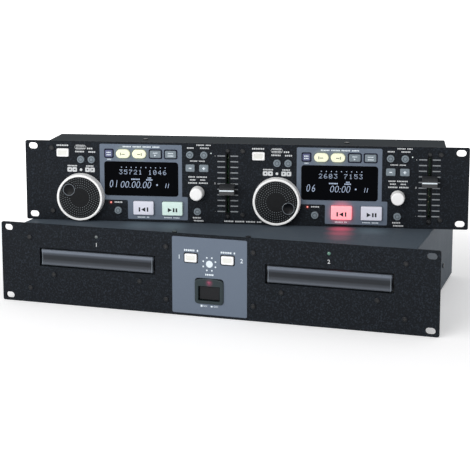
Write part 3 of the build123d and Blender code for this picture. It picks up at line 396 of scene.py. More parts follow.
def effect(name, inputs, outputs):
    """A new shader node group with object coordinates, its inputs and its outputs."""
    group = bpy.data.node_groups.new(name, "ShaderNodeTree")
    kind = "NodeSocketFloat"
    for title, value in inputs:
        group.interface.new_socket(name=title, in_out="INPUT", socket_type=kind).default_value = value
    for title in outputs:
        group.interface.new_socket(name=title, in_out="OUTPUT", socket_type=kind)
    way_in = group.nodes.new("NodeGroupInput")
    way_out = group.nodes.new("NodeGroupOutput")
    return group, way_in, way_out, object_place(group)


def powder_grain():
    """Powder coat or moulded grain: fine speckle, its height, and slow changes of tone."""
    group, given, result, place = effect(
        "Powder grain", (("Scale", 900.0), ("Speckle", 0.5)), ("Speckle", "Height", "Cloud")
    )
    links = group.links
    fine = noise(group, place, 900, 2.0, 0.6)
    links.new(given.outputs["Scale"], fine.inputs["Scale"])
    speckle = remapped(group, fine.outputs[0], 0.5, 0.76)
    speckle = math_node(group, "MULTIPLY", speckle, given.outputs["Speckle"])
    links.new(speckle, result.inputs["Speckle"])
    links.new(fine.outputs[0], result.inputs["Height"])
    links.new(noise(group, place, 11, 2.0).outputs[0], result.inputs["Cloud"])
    return group


def handling():
    """Faint rubbed and smudged patches from handling, for the roughness."""
    group, given, result, place = effect(
        "Handling marks", (("Scale", 60.0), ("Depth", 0.12)), ("Rough", "Rub")
    )
    links = group.links
    patch = noise(group, place, 60, 4.0, 0.65)
    links.new(given.outputs["Scale"], patch.inputs["Scale"])
    centred = math_node(group, "SUBTRACT", patch.outputs[0], 0.5)
    links.new(math_node(group, "MULTIPLY", centred, given.outputs["Depth"]), result.inputs["Rough"])
    hair = noise(group, stretched(group, place, (0.06, 0.5, 1.6)), 260, 1.0, 0.4)
    links.new(math_node(group, "GREATER_THAN", hair.outputs[0], 0.66), result.inputs["Rub"])
    return group


def edge_rub_and_highlight_group():
    """Where the surface turns a corner within a small distance, paint is made paler: partly rubbed wear,
    partly a painted highlight along the edge.
    """
    group, given, result, _ = effect("Edge rub", (("Amount", 0.5),), ("Edge",))
    links = group.links
    corner = group.nodes.new("ShaderNodeBevel")
    corner.samples = 4
    corner.inputs["Radius"].default_value = 0.0005
    around = group.nodes.new("ShaderNodeNewGeometry")
    turned = group.nodes.new("ShaderNodeVectorMath")
    turned.operation = "DOT_PRODUCT"
    links.new(corner.outputs[0], turned.inputs[0])
    links.new(around.outputs["Normal"], turned.inputs[1])
    bent = math_node(group, "SUBTRACT", 1.0, turned.outputs["Value"], clamp=True)
    bent = math_node(group, "MULTIPLY", bent, 4.0, clamp=True)
    links.new(math_node(group, "MULTIPLY", bent, given.outputs["Amount"]), result.inputs["Edge"])
    return group


EFFECTS = {}


def shared(name):
    """A shared effect, built once."""
    makers = {"grain": powder_grain, "handling": handling, "edge": edge_rub_and_highlight_group}
    if name not in EFFECTS:
        EFFECTS[name] = makers[name]()
    return EFFECTS[name]


def placed(tree, name, **values):
    """A shared effect in a material, with its own values."""
    node = tree.nodes.new("ShaderNodeGroup")
    node.node_tree = shared(name)
    for title, value in values.items():
        node.inputs[title].default_value = value
    return node


def handled(tree, shader, rough, depth, scale=60.0):
    """Roughness with faint marks from handling."""
    touched = placed(tree, "handling", Depth=depth, Scale=scale)
    rough_here = math_node(tree, "ADD", touched.outputs["Rough"], rough, clamp=True)
    tree.links.new(rough_here, shader.inputs["Roughness"])


# ---------------------------------------------------------------- materials
def blank(name):
    """A new material, its tree and its surface shader."""
    material = bpy.data.materials.new(name)
    material.use_nodes = True
    tree = material.node_tree
    return material, tree, tree.nodes["Principled BSDF"]


def coated(
    name, colour, rough=0.5, scale=900.0, speckle=0.3, paler=1.6, grain=0.00002, metal=0.0, coat=0.0,
    rub=0.0, cloud=0.12, specular=0.5, glow=0.0, glow_colour=None,
):
    """A painted, moulded or anodised surface with grain, slow tone changes and handling marks.

    After the colour come the roughness, the grain's scale, how many specks show, how much paler they
    are than the colour, and the grain's depth in metres.
    """
    material, tree, shader = blank(name)
    colour = tuple(colour)
    pale = tuple(min(1.0, value * paler + 0.002) for value in colour)
    dark = tuple(value * (1 - cloud) for value in colour)
    fine = placed(tree, "grain", Scale=scale, Speckle=speckle)
    touched = placed(tree, "handling", Depth=0.12)
    base = blend_colour(tree, fine.outputs["Cloud"], dark, tuple(value * (1 + cloud) for value in colour))
    base = blend_colour(tree, fine.outputs["Speckle"], base, pale)
    # Paler edges: partly rubbed wear, partly a painted highlight along the edges
    if rub:
        rubbed_and_lit_edge = placed(tree, "edge", Amount=rub)
        rubbed_and_lit_edge_colour = tuple(min(1.0, value * 2.2 + 0.01) for value in colour)
        base = blend_colour(tree, rubbed_and_lit_edge.outputs["Edge"], base, rubbed_and_lit_edge_colour)
    tree.links.new(base, shader.inputs["Base Color"])
    rough_here = math_node(tree, "ADD", touched.outputs["Rough"], rough, clamp=True)
    rough_here = math_node(tree, "MULTIPLY_ADD", touched.outputs["Rub"], -0.04, rough_here)
    tree.links.new(rough_here, shader.inputs["Roughness"])
    bumped(tree, shader, fine.outputs["Height"], 0.5, grain)
    shader.inputs["Metallic"].default_value = metal
    shader.inputs["Specular IOR Level"].default_value = specular
    shader.inputs["Coat Weight"].default_value = coat
    shader.inputs["Coat Roughness"].default_value = 0.18
    if glow:
        shader.inputs["Emission Color"].default_value = (*(glow_colour or colour)[:3], 1)
        shader.inputs["Emission Strength"].default_value = glow
    return material


def painted_glow_spots(tree, shader, spots):
    """Painted light on the surface round lamps and keys, as emission: the light they throw and their
    reflections; place in metres, reach and colour of each.
    """
    place = object_place(tree)
    total = (0, 0, 0)
    for centre, reach, colour in spots:
        fade = remapped(tree, distance_to(tree, place, centre), reach, 0.0, shape="SMOOTHERSTEP")
        total = blend_colour(tree, fade, total, colour)
    tree.links.new(total, shader.inputs["Emission Color"])
    shader.inputs["Emission Strength"].default_value = 1.0


def tray_finish(name, colour):
    """Satin front with painted highlight and painted shade in stripes across its height, darkest across its
    hollow; black moulded plastic with a fine grain behind it.
    """
    material, tree, shader = blank(name)
    place = object_place(tree)
    sides = apart(tree, place)
    front = math_node(tree, "LESS_THAN", sides["Y"], TRAY_FACE)
    streak = noise(tree, stretched(tree, place, (0.02, 1.0, 1.0)), 2600, 3.0, 0.6)
    rise = remapped(tree, sides["Z"], TRAY_MIDDLE - TRAY_RISE, TRAY_MIDDLE + TRAY_RISE)
    painted_light_bands = tree.nodes.new("ShaderNodeValToRGB")
    painted_light_bands.color_ramp.interpolation = "EASE"
    # Painted highlight and painted shade across the front: share of the front's height, and how bright the
    # satin is painted there
    painted_light_tones = (
        (0.02, 0.3), (0.1, 0.5), (0.26, 0.24), (0.42, 0.08), (0.6, 0.1), (0.74, 0.4), (0.88, 1.2), (0.98, 0.8)
    )
    while len(painted_light_bands.color_ramp.elements) < len(painted_light_tones):
        painted_light_bands.color_ramp.elements.new(0.5)
    for element, (place_up, tone) in zip(painted_light_bands.color_ramp.elements, painted_light_tones):
        element.position = place_up
        element.color = (*(value * tone for value in colour), 1)
    tree.links.new(rise, painted_light_bands.inputs[0])
    satin = blend_colour(tree, streak.outputs[0], painted_light_bands.outputs[0], tuple(v * 0.9 for v in colour))
    satin = blend_colour(tree, 0.88, satin, painted_light_bands.outputs[0])
    # Paler edges: partly rubbed wear, partly a painted highlight along the lip
    rubbed_and_lit_edge = placed(tree, "edge", Amount=0.5)
    satin = blend_colour(tree, rubbed_and_lit_edge.outputs["Edge"], satin, shade(150, 158, 168))
    # Painted highlight line a little inside each end, where the front rounds off
    for tray in DECKS:
        low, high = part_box(f"tray_{tray}")
        for end in (low.x + 0.0022, high.x - 0.0022):
            across = math_node(tree, "ABSOLUTE", math_node(tree, "SUBTRACT", sides["X"], end))
            line = math_node(tree, "MULTIPLY", math_node(tree, "LESS_THAN", across, 0.00035), 0.7)
            satin = blend_colour(tree, line, satin, shade(128, 136, 144))
    fine = placed(tree, "grain", Scale=1300.0, Speckle=0.4)
    moulded = blend_colour(tree, fine.outputs["Speckle"], shade(26, 27, 29), shade(40, 41, 44))
    tree.links.new(blend_colour(tree, front, moulded, satin), shader.inputs["Base Color"])
    tree.links.new(math_node(tree, "MULTIPLY", front, 0.12), shader.inputs["Metallic"])
    shader.inputs["Specular IOR Level"].default_value = 0.2
    handled(tree, shader, math_node(tree, "MULTIPLY_ADD", front, -0.14, 0.46), 0.1)
    bumped(tree, shader, streak.outputs[0], 0.3, 0.00001)
    return material


def jog_finish(name, deck, colour):
    """Black moulded disc with fine turned rings round its own middle."""
    material, tree, shader = blank(name)
    away = distance_to(tree, object_place(tree), off_face(REMOTE, *JOGS[deck]))
    ripple = math_node(tree, "SINE", math_node(tree, "MULTIPLY", away, 2 * math.pi / sizes().dot_step))
    ringed = math_node(tree, "GREATER_THAN", away, 0.0098)
    rings = math_node(tree, "MULTIPLY", math_node(tree, "MULTIPLY_ADD", ripple, 0.5, 0.5), ringed)
    fine = placed(tree, "grain", Scale=1500.0, Speckle=0.5)
    base = blend_colour(tree, fine.outputs["Speckle"], colour, tuple(v * 2.2 for v in colour))
    base = blend_colour(tree, math_node(tree, "MULTIPLY", rings, 0.2), base, tuple(v * 2.4 for v in colour))
    tree.links.new(base, shader.inputs["Base Color"])
    handled(tree, shader, 0.3, 0.12, 90.0)
    shader.inputs["Specular IOR Level"].default_value = 0.12
    bumped(tree, shader, math_node(tree, "MULTIPLY_ADD", rings, 0.6, fine.outputs["Height"]), 0.4, 0.00004)
    return material


def window_finish(name):
    """Glossy black display window with a faint cell pattern under its surface."""
    material, tree, shader = blank(name)
    place = object_place(tree)
    haze = noise(tree, place, 30, 3.0)
    base = blend_colour(tree, haze.outputs[0], shade(0, 1, 2), shade(2, 3, 8))
    base = blend_colour(tree, scattered(tree, place, 900, 0.12), base, shade(5, 7, 12))
    tree.links.new(base, shader.inputs["Base Color"])
    handled(tree, shader, 0.16, 0.08, 40.0)
    shader.inputs["Specular IOR Level"].default_value = 0.02
    return material


def board_finish(name):
    """Green circuit board with copper-toned tracks and pads."""
    material, tree, shader = blank(name)
    place = object_place(tree)
    tracks = tree.nodes.new("ShaderNodeTexBrick")
    tracks.inputs["Scale"].default_value = 160
    tracks.inputs["Mortar Size"].default_value = 0.03
    tracks.inputs["Color1"].default_value = (*shade(20, 66, 44), 1)
    tracks.inputs["Color2"].default_value = (*shade(24, 78, 50), 1)
    tracks.inputs["Mortar"].default_value = (*shade(60, 110, 72), 1)
    tree.links.new(place, tracks.inputs["Vector"])
    pad = scattered(tree, place, 420, 0.22)
    toned = blend_colour(tree, pad, tracks.outputs[0], shade(176, 166, 140))
    tree.links.new(toned, shader.inputs["Base Color"])
    tree.links.new(math_node(tree, "MULTIPLY", pad, 0.7), shader.inputs["Metallic"])
    handled(tree, shader, 0.45, 0.2)
    return material


def socket_finish(name):
    """Black moulded sockets whose outer sleeves are nickel."""
    material, tree, shader = blank(name)
    sides = apart(tree, object_place(tree))
    behind = math_node(tree, "GREATER_THAN", sides["Y"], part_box("drive_lid")[1].y + 0.0008)
    sleeve = math_node(tree, "MULTIPLY", behind, math_node(tree, "GREATER_THAN", sides["X"], 0.08))
    fine = placed(tree, "grain", Scale=1200.0, Speckle=0.3)
    moulded = blend_colour(tree, fine.outputs["Speckle"], shade(20, 20, 22), shade(44, 44, 47))
    tree.links.new(blend_colour(tree, sleeve, moulded, shade(196, 194, 188)), shader.inputs["Base Color"])
    tree.links.new(sleeve, shader.inputs["Metallic"])
    handled(tree, shader, math_node(tree, "MULTIPLY_ADD", sleeve, -0.22, 0.5), 0.16)
    return material


def lit(name, colour, strength, core=0.5):
    """A small lens or glyph that gives light, brighter in patches."""
    material, tree, shader = blank(name)
    fine = placed(tree, "grain", Scale=500.0, Speckle=1.0)
    tone = blend_colour(tree, fine.outputs["Height"], tuple(v * (1 - core) for v in colour), colour)
    tree.links.new(tone, shader.inputs["Emission Color"])
    tree.links.new(tone, shader.inputs["Base Color"])
    shader.inputs["Emission Strength"].default_value = strength
    shader.inputs["Roughness"].default_value = 0.3
    return material


MATERIALS = {}


def shader_of(name):
    """The node tree and the surface shader of a finish."""
    tree = MATERIALS[name].node_tree
    return tree, tree.nodes["Principled BSDF"]


def paint_glows_and_reflections():
    """Painted glows round the lit cue key, the oval keys, the brake lamps and the power lamp, and painted
    reflections of the big keys on the drive's lid.
    """
    cue_x, cue_y = BIG_KEYS[0]
    # Painted glow on the plate round the lit cue key and the oval keys
    painted_plate_glows = [(off_face(REMOTE, MIDDLES["2"] + cue_x, cue_y), 0.0185, shade(214, 84, 100))]
    for deck in DECKS:
        ovals = [off_face(REMOTE, MIDDLES[deck] + x, y) for x, y in OVALS]
        painted_plate_glows += [(spot, 0.0125, shade(96, 102, 62)) for spot in ovals]
    painted_glow_spots(*shader_of("plate"), painted_plate_glows)
    # Painted light and painted reflections of the big keys on the lid: deck, big key, millimetres before the
    # panel, reach in metres and colour
    pale = (44, 54, 58)
    painted_lid_pools = (
        ("1", 0, 18, 0.03, pale), ("1", 1, 18, 0.03, pale), ("2", 1, 18, 0.03, pale),
        ("2", 0, 12, 0.02, (168, 50, 72)),
        ("2", 0, 34, 0.021, (130, 42, 58)),
        ("2", 0, 56, 0.019, (84, 36, 46)),
    )
    painted_lid_light = []
    for deck, key, ahead, reach, colour in painted_lid_pools:
        spot = off_face(REMOTE, MIDDLES[deck] + BIG_KEYS[key][0], 0, ahead)
        spot.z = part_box("drive_lid")[1].z
        painted_lid_light.append((spot, reach, shade(*colour)))
    painted_glow_spots(*shader_of("case_black"), painted_lid_light)
    # Painted glow on the panel round the brake lamps, and on the bezel round the power lamp
    x, y = BRAKE_LAMP
    brakes = [off_face(REMOTE, MIDDLES[deck] + x, y) for deck in DECKS]
    painted_glow_spots(*shader_of("panel_black"), [(spot, 0.0038, shade(70, 18, 16)) for spot in brakes])
    painted_glow_spots(*shader_of("bezel_black"), [(off_face(DRIVE, *POWER_LAMP, 1.5), 0.0058, shade(104, 36, 62))])


def make_materials():
    """All the finishes, by the record's slots and by names of their own."""
    c = colours()
    m = MATERIALS
    m["panel_black"] = coated(
        "Panel powder coat", c.panel, 0.62, 640.0, 0.8, 5.0, 0.00004, rub=0.25, specular=0.12
    )
    m["case_black"] = coated("Cover paint", c.case, 0.5, 1400.0, 0.3, 1.4, 0.000012, rub=0.3, specular=0.04)
    m["remote_case"] = coated(
        "Controller paint", c.remote_case, 0.6, 1400.0, 0.3, 1.4, 0.000012, rub=0.3, specular=0.0
    )
    m["screw_black"] = coated(
        "Blackened screws", shade(16, 19, 23), 0.3, 1600.0, 0.2, 1.5, rub=0.4, specular=0.25
    )
    m["bezel_black"] = coated(
        "Bezel plastic", shade(40, 51, 54), 0.34, 1200.0, 0.25, 1.8, rub=0.5, specular=0.25
    )
    m["loader_black"] = coated("Loader plastic", shade(32, 33, 36), 0.55, 1100.0, 0.4, 1.7)
    m["board_green"] = board_finish("Circuit board")
    m["socket_black"] = socket_finish("Sockets")
    m["window_black"] = window_finish("Display window")
    m["tray_satin"] = tray_finish("Tray", tuple(c.tray))
    m["key_white"] = coated(
        "White key plastic", c.white_key, 0.42, 700.0, 0.2, 1.04, cloud=0.02, specular=0.3
    )
    m["key_grey"] = coated("Grey key rubber", c.grey_key, 0.6, 1500.0, 0.5, 1.25, cloud=0.05, specular=0.25)
    m["key_amber"] = coated("Lit oval keys", c.oval_key, 0.4, 600.0, 0.2, 1.05, cloud=0.02, glow=0.14)
    m["key_cue"] = coated("Cue key", c.cue_key, 0.4, 700.0, 0.2, 1.04, cloud=0.02, specular=0.3)
    m["key_cue_lit"] = coated(
        "Lit cue key", c.lit_cue_key, 0.4, 600.0, 0.2, 1.02, cloud=0.02,
        glow=0.45, glow_colour=shade(255, 110, 128)
    )
    m["key_play"] = coated("Play key", c.play_key, 0.4, 700.0, 0.2, 1.04, cloud=0.02, glow=0.06)
    m["ring_white"] = coated(
        "Shuttle ring plastic", c.white_key, 0.35, 800.0, 0.2, 1.04, cloud=0.02, specular=0.4
    )
    m["shaft_steel"] = coated("Turned steel", shade(170, 172, 175), 0.3, 2000.0, 0.3, 1.2, metal=1.0)
    m["fader_black"] = coated("Fader cap plastic", c.fader, 0.55, 1100.0, 0.4, 1.6, rub=0.3)
    m["plate"] = coated(
        "Anodised plate", c.plate, 0.48, 1500.0, 0.5, 1.25, 0.00001, cloud=0.05, specular=0.2
    )
    m["ink"] = coated("White print", c.ink, 0.7, 1500.0, 0.3, 1.2, cloud=0.05, specular=0.2)
    m["faint_ink"] = coated(
        "Grey print", shade(138, 142, 146), 0.7, 1500.0, 0.3, 1.2, cloud=0.05, specular=0.2
    )
    m["oval_ink"] = coated("Olive print", shade(66, 70, 52), 0.6, 1500.0, 0.2, 1.2, specular=0.2)
    m["dark_ink"] = coated("Dark print", shade(26, 31, 37), 0.6, 1500.0, 0.3, 1.5, specular=0.2)
    m["bright_mark"] = coated("Bright mark", shade(225, 235, 242), 0.5, 1500.0, 0.2, 1.05, cloud=0.02)
    m["glyph"] = lit("Display glyphs", tuple(c.glyph), 0.9, 0.35)
    m["red_lamp"] = lit("Red lamp", tuple(c.red_lamp), 1.0, 0.1)
    m["dim_red_lamp"] = lit("Dim red lamp", shade(128, 52, 78), 0.5)
    m["tray_lamp"] = coated("Smoked lens", c.tray_lamp, 0.15, 900.0, 0.3, 1.3, specular=0.6, coat=0.6)
    m["green_lamp"] = coated(
        "Green lens", shade(58, 104, 88), 0.15, 900.0, 0.3, 1.3, specular=0.6, coat=0.6, glow=0.25
    )
    m["pale_lamp"] = lit("Pale lamp", shade(205, 215, 215), 0.7)
    m["violet_key"] = coated(
        "Violet key rubber", shade(94, 98, 130), 0.55, 1500.0, 0.5, 1.3, cloud=0.05, specular=0.2
    )
    m["ring_mark"] = coated("Pressed ring", shade(80, 88, 94), 0.6, 1500.0, 0.3, 1.3, specular=0.15)
    m["button_black"] = coated(
        "Power button plastic", shade(24, 25, 28), 0.4, 1200.0, 0.25, 1.8, rub=0.4, specular=0.2
    )
    m["surround"] = coated("Key surround", shade(26, 29, 46), 0.6, 1500.0, 0.3, 1.5, specular=0.1)
    m["slot_strip"] = coated("Fader strip", shade(10, 11, 13), 0.7, 1500.0, 0.3, 1.5, specular=0.1)
    m["dish"] = coated("Key dish", shade(230, 230, 224), 0.5, 900.0, 0.2, 1.03, cloud=0.02, specular=0.2)
    # Near-black cross: painted shade standing for a screw's cross recess
    m["recess"] = coated("Cross recess", shade(8, 8, 9), 0.6, 1500.0, 0.2, 2.0)
    m["dots"] = coated("Grip dots", shade(98, 105, 108), 0.45, 1500.0, 0.2, 1.4, specular=0.2)
    # Pale dimple rim: a painted highlight where the dimple's lower wall catches the light
    m["rim"] = coated("Dimple rim highlight", shade(116, 125, 133), 0.22, 1500.0, 0.2, 1.4, coat=0.4)
    m["white_ring"] = coated("White socket ring", shade(226, 226, 222), 0.45, 900.0, 0.2, 1.05)
    m["red_ring"] = coated("Red socket ring", shade(196, 40, 38), 0.45, 900.0, 0.2, 1.3)
    m["orange_ring"] = coated("Orange socket ring", shade(226, 120, 40), 0.45, 900.0, 0.2, 1.3)
    paint_glows_and_reflections()


# ---------------------------------------------------------------- operators
class DressOperator(bpy.types.Operator):
    bl_options = {"REGISTER", "UNDO"}


# Pieces whose finish differs from that of the others in their slot
OWN_FINISHES = {
    "sampler_key_1": "violet_key", "sampler_key_2": "violet_key", "play_key_2": "key_cue",
    "power_button": "button_black", "controller_case": "remote_case",
}


class FrameFinishes(DressOperator):
    """Give every CAD piece its finish"""
    bl_idname = "disc_player.frame_finishes"
    bl_label = "CAD finishes"

    def execute(self, context):
        make_materials()
        for node, piece in frame["nodes"].items():
            for index, held in enumerate(piece.data.materials):
                slot = held.name.split(".")[0]
                if slot == "jog_black":
                    deck = node[-1]
                    piece.data.materials[index] = jog_finish(f"Jog disc {deck}", deck, tuple(colours().jog))
                else:
                    piece.data.materials[index] = MATERIALS[OWN_FINISHES.get(node, slot)]
        return {"FINISHED"}


# The dark places of three keys in the blue-grey plate: x, y, width, height, corner and width of their rim
KEY_FRAMES = (
    (-39.2, 31.15, 10.8, 10.4, 1.8, 0.9),
    (12.4, 31.15, 15.0, 10.8, 2.0, 1.0),
    (29.2, 31.15, 15.0, 10.8, 2.0, 1.0),
)
# Middles of the other keys, lamps and faders, from the middle of their deck or of the drive's panel
OVALS = ((-23.3, 31.15), (-5.5, 31.15))
BIG_KEYS = ((-1.1, -28.5), (30.9, -28.5))
BRAKE_LAMP = (-37.7, -23.2)
PITCH_LAMP = (73.4, 33.1)
POWER_LAMP = (0.4, -6.6)
FADER = (91.7, 0.2)
# Openings: width, height and corner
OVAL_HOLE = (16.2, 10.3, 5.1)
BIG_HOLE = (23.4, 15.9, 1.8)
WINDOW_HOLE = (82.2, 38.0, 3.2)
WINDOW = (-3.65, 3.5)
# Prints and plates start a little off the paint
OFF_PAINT = 0.01


def on_controller(name, layers, finish):
    """A flat piece on the controller's panel."""
    flat_piece(name, layers, REMOTE, finish, "controller")


def plate_outline(middle):
    """The plate's stepped outline: a wide block round the window over a block under the big keys."""
    left, right, low_left, low_right = -49.6, 41.5, -18.8, 47.7
    top, waist_left, waist_right, bottom = 41.55, -20.25, -15.45, -41.25
    corner = 1.4
    points = []

    def turn_at(x, y, start, sweep):
        for step in range(5):
            angle = math.radians(start + sweep * step / 4)
            points.append((middle + x + corner * math.cos(angle), y + corner * math.sin(angle)))

    turn_at(right - corner, top - corner, 0, 90)
    turn_at(left + corner, top - corner, 90, 90)
    turn_at(left + corner, waist_left + corner, 180, 90)
    turn_at(low_left - corner, waist_left - corner, 90, -90)
    turn_at(low_left + corner, bottom + corner, 180, 90)
    turn_at(low_right - corner, bottom + corner, 270, 90)
    turn_at(low_right - corner, waist_right - corner, 0, 90)
    points.append((middle + right, waist_right))
    return points


class DeckPlates(DressOperator):
    """Blue-grey plates round the displays, with openings for the keys and the shuttle rings"""
    bl_idname = "disc_player.deck_plates"
    bl_label = "Deck plates"

    def execute(self, context):
        high = sizes().plate_height / MM
        for deck in DECKS:
            middle = MIDDLES[deck]
            holes = [rounded(middle + x, y, *size) for x, y, *size, _ in KEY_FRAMES]
            holes += [rounded(middle + x, y, *OVAL_HOLE) for x, y in OVALS]
            holes += [rounded(middle + x, y, *BIG_HOLE) for x, y in BIG_KEYS]
            holes.append(rounded(middle + WINDOW[0], WINDOW[1], *WINDOW_HOLE))
            on_controller(f"deck_plate_{deck}", [([plate_outline(middle)] + holes, OFF_PAINT, high)], "plate")
            rims = []
            for x, y, wide, tall, corner, rim in KEY_FRAMES:
                outer = rounded(middle + x, y, wide - 0.06, tall - 0.06, corner)
                inner = rounded(middle + x, y, wide - 2 * rim, tall - 2 * rim, corner - 0.4)
                rims.append(([outer, inner], OFF_PAINT, high - 0.05))
            on_controller(f"key_surrounds_{deck}", rims, "surround")
            x, y = FADER
            strip = rounded(middle + x, y - 1.5, 4.9, 76.0, 0.8)
            slot = rounded(middle + x, y, 2.6, 65.7, 1.3)
            on_controller(f"fader_strip_{deck}", [([strip, slot], OFF_PAINT, 0.05)], "slot_strip")
        return {"FINISHED"}


# Bars printed in place of words, from the middle of the deck: first x, last x, y, height
DECK_BARS = (
    (-98.0, -84.5, 39.1, 1.8),
    (-75.8, -66.4, 38.6, 1.3),
    (-76.2, -66.0, 36.2, 1.3),
    (-77.2, -66.8, 32.4, 1.8),
    (-63.8, -57.4, 36.0, 1.8),
    (-62.4, -54.3, 32.2, 1.8),
    (-86.0, -75.0, 16.6, 1.6),
    (-65.2, -56.6, 16.6, 1.6),
    (-33.9, -24.9, -22.9, 1.7),
    (47.0, 54.6, 38.6, 1.6),
    (57.2, 73.4, 41.9, 1.4),
    (61.4, 71.2, 38.6, 1.6),
    (50.2, 66.8, 24.4, 1.3),
    (48.4, 56.0, 6.9, 1.5),
    (57.4, 69.0, 6.9, 1.5),
    (50.0, 56.4, 3.7, 1.5),
    (61.4, 67.2, 3.7, 1.5),
    (48.2, 70.0, 0.3, 1.6),
    (53.0, 62.0, -38.2, 1.6),
    (54.2, 65.2, -41.5, 1.6),
)
PLATE_BARS = (
    (-24.0, 17.0, 38.9, 1.5),
    (-41.4, -36.8, 24.6, 1.1),
    (-8.2, 5.0, -38.9, 1.4),
    (21.4, 38.6, -38.9, 1.4),
)
FADER_MARKS = (("+", 77.8, 30.25, 1.9), ("0", 77.6, 0.2, 2.2), ("-", 77.8, -30.3, 1.9))


class PanelPrints(DressOperator):
    """White print on the controller: plain bars for words, fader scales and simple signs"""
    bl_idname = "disc_player.panel_prints"
    bl_label = "Controller print"

    def execute(self, context):
        high = sizes().ink_height / MM
        plate = sizes().plate_height / MM
        for deck in DECKS:
            middle = MIDDLES[deck]
            words = [stroke for row in DECK_BARS for stroke in broken_bar(middle, *row)]
            shapes = [words]
            # Two pairs of blocks with arrows over the shuttle ring, and a dot between them
            for x, way in ((-80.8, -1), (-60.8, 1)):
                for place in (middle + x - 2.75, middle + x + 2.75):
                    shapes.append([rounded(place, 12.4, 5.2, 5.0, 1.1), arrow(place, 12.4, 1.15, way)])
            shapes.append([circle(middle - 70.9, 12.35, 1.5)])
            # Oval line round the first words
            shapes.append([rounded(middle - 71.2, 37.4, wide, wide - 7.4, 3) for wide in (12.6, 12.0)])
            on_controller(f"deck_print_{deck}", [(shape, OFF_PAINT, high) for shape in shapes], "ink")

            words = [stroke for row in PLATE_BARS for stroke in broken_bar(middle, *row)]
            on_controller(f"plate_print_{deck}", [(words, plate, plate + high)], "bright_mark")

            lines = [
                bar(middle + left, middle + right, 30.55 - 6.1 * step, 1.2)
                for step in range(11) for left, right in ((80.3, 88.8), (94.6, 103.0))
            ]
            on_controller(f"fader_scale_{deck}", [(lines, OFF_PAINT, high)], "faint_ink")
            bm = bmesh.new()
            for sign, x, y, tall in FADER_MARKS:
                figures(bm, sign, middle + x, y, tall, OFF_PAINT, high)
            finish_piece(f"fader_figures_{deck}", bm, REMOTE, "ink", "controller")
        on_controller("middle_print", [(broken_bar(0, -20.2, 20.6, -41.2, 1.6), OFF_PAINT, high)], "ink")
        return {"FINISHED"}


def broken_bar(middle, x0, x1, y, height):
    """A bar broken into short strokes, which stands for a word without being one."""
    strokes = []
    step = height * 1.05
    count = max(1, round((x1 - x0) / step))
    step = (x1 - x0) / count
    for index in range(count):
        if count > 7 and index % 7 == 6:
            continue
        left = middle + x0 + index * step
        strokes.append(bar(left + step * 0.06, left + step * 0.84, y, height))
    return strokes


def arrow(x, y, size, way=1):
    """Outline of a triangle that points right, or left."""
    return [(x + way * size, y), (x - way * size * 0.8, y + size), (x - way * size * 0.8, y - size)][::way]


def cross_outline(x, y, length, width):
    """Outline of an upright cross."""
    far, near = length / 2, width / 2
    arm = ((near, near), (near, far), (-near, far))
    corners = []
    for turn in range(4):
        cos, sin = ((1, 0), (0, 1), (-1, 0), (0, -1))[turn]
        corners += [(x + dx * cos - dy * sin, y + dx * sin + dy * cos) for dx, dy in arm]
    return corners


# ---------------------------------------------------------------- signs on the keys, round a middle
def cue_sign(x, y):
    bars = [rounded(x + side, y - 1.4, 1.6, 4.8, 0.2) for side in (-4.4, 4.6)]
    return [arrow(x + 0.1, y - 1.4, 2.5, -1), *bars]


def play_sign(x, y):
    bars = [rounded(x + side, y - 1.4, 1.8, 4.4, 0.2) for side in (1.6, 4.6)]
    return [arrow(x - 2.9, y - 1.4, 2.5), *bars]


def minus_sign(x, y):
    return [rounded(x, y, 3.2, 1.1, 0.4)]


def plus_sign(x, y):
    return [cross_outline(x, y, 3.2, 1.1)]


def in_sign(x, y, side=1):
    post = rounded(x - side * 2.6, y - 0.2, 0.75, 3.0, 0.1)
    return [post, rounded(x + side * 0.2, y - 0.4, 3.6, 0.75, 0.1)]


def out_sign(x, y):
    return in_sign(x, y, -1)


def exit_sign(x, y):
    return [arrow(x - 0.2, y - 1.2, 1.1), *broken_bar(x, -2.6, 2.6, y + 1.4, 1.0)]


def reloop_sign(x, y):
    return broken_bar(x, -3.0, 3.0, y + 1.3, 1.1) + broken_bar(x, -3.2, 3.4, y - 1.4, 1.2)


def sampler_sign(x, y):
    return broken_bar(x, -2.5, 2.5, y + 1.3, 1.4) + broken_bar(x, -2.5, 2.5, y - 1.3, 1.4)


def ring_sign(x, y):
    return [circle(x, y, 2.5), circle(x, y, 1.7)]


def dish_sign(x, y):
    """The greyer floor of a dished key."""
    return [rounded(x, y, 9.6, 5.2, 0.6)]


DISH_DEPTH = 0.29
ROUND_KEYS = ("mode_key", "time_key", "title_key", "pitch_key", "brake_key", "memo_key")
# Key, its sign, the sign's finish and how deep it lies in the cap
SIGNS = (
    ("cue_key", cue_sign, "dark_ink", 0),
    ("play_key", play_sign, "dark_ink", 0),
    ("bend_minus_key", minus_sign, "bright_mark", 0),
    ("bend_plus_key", plus_sign, "bright_mark", 0),
    ("loop_in_key", in_sign, "oval_ink", 0),
    ("loop_out_key", out_sign, "oval_ink", 0),
    ("exit_key", exit_sign, "bright_mark", 0),
    ("reloop_key", reloop_sign, "bright_mark", 0),
    ("sampler_key", sampler_sign, "bright_mark", 0),
    ("open_key", dish_sign, "dish", DISH_DEPTH),
    *((key, ring_sign, "ring_mark", 0) for key in ROUND_KEYS),
)


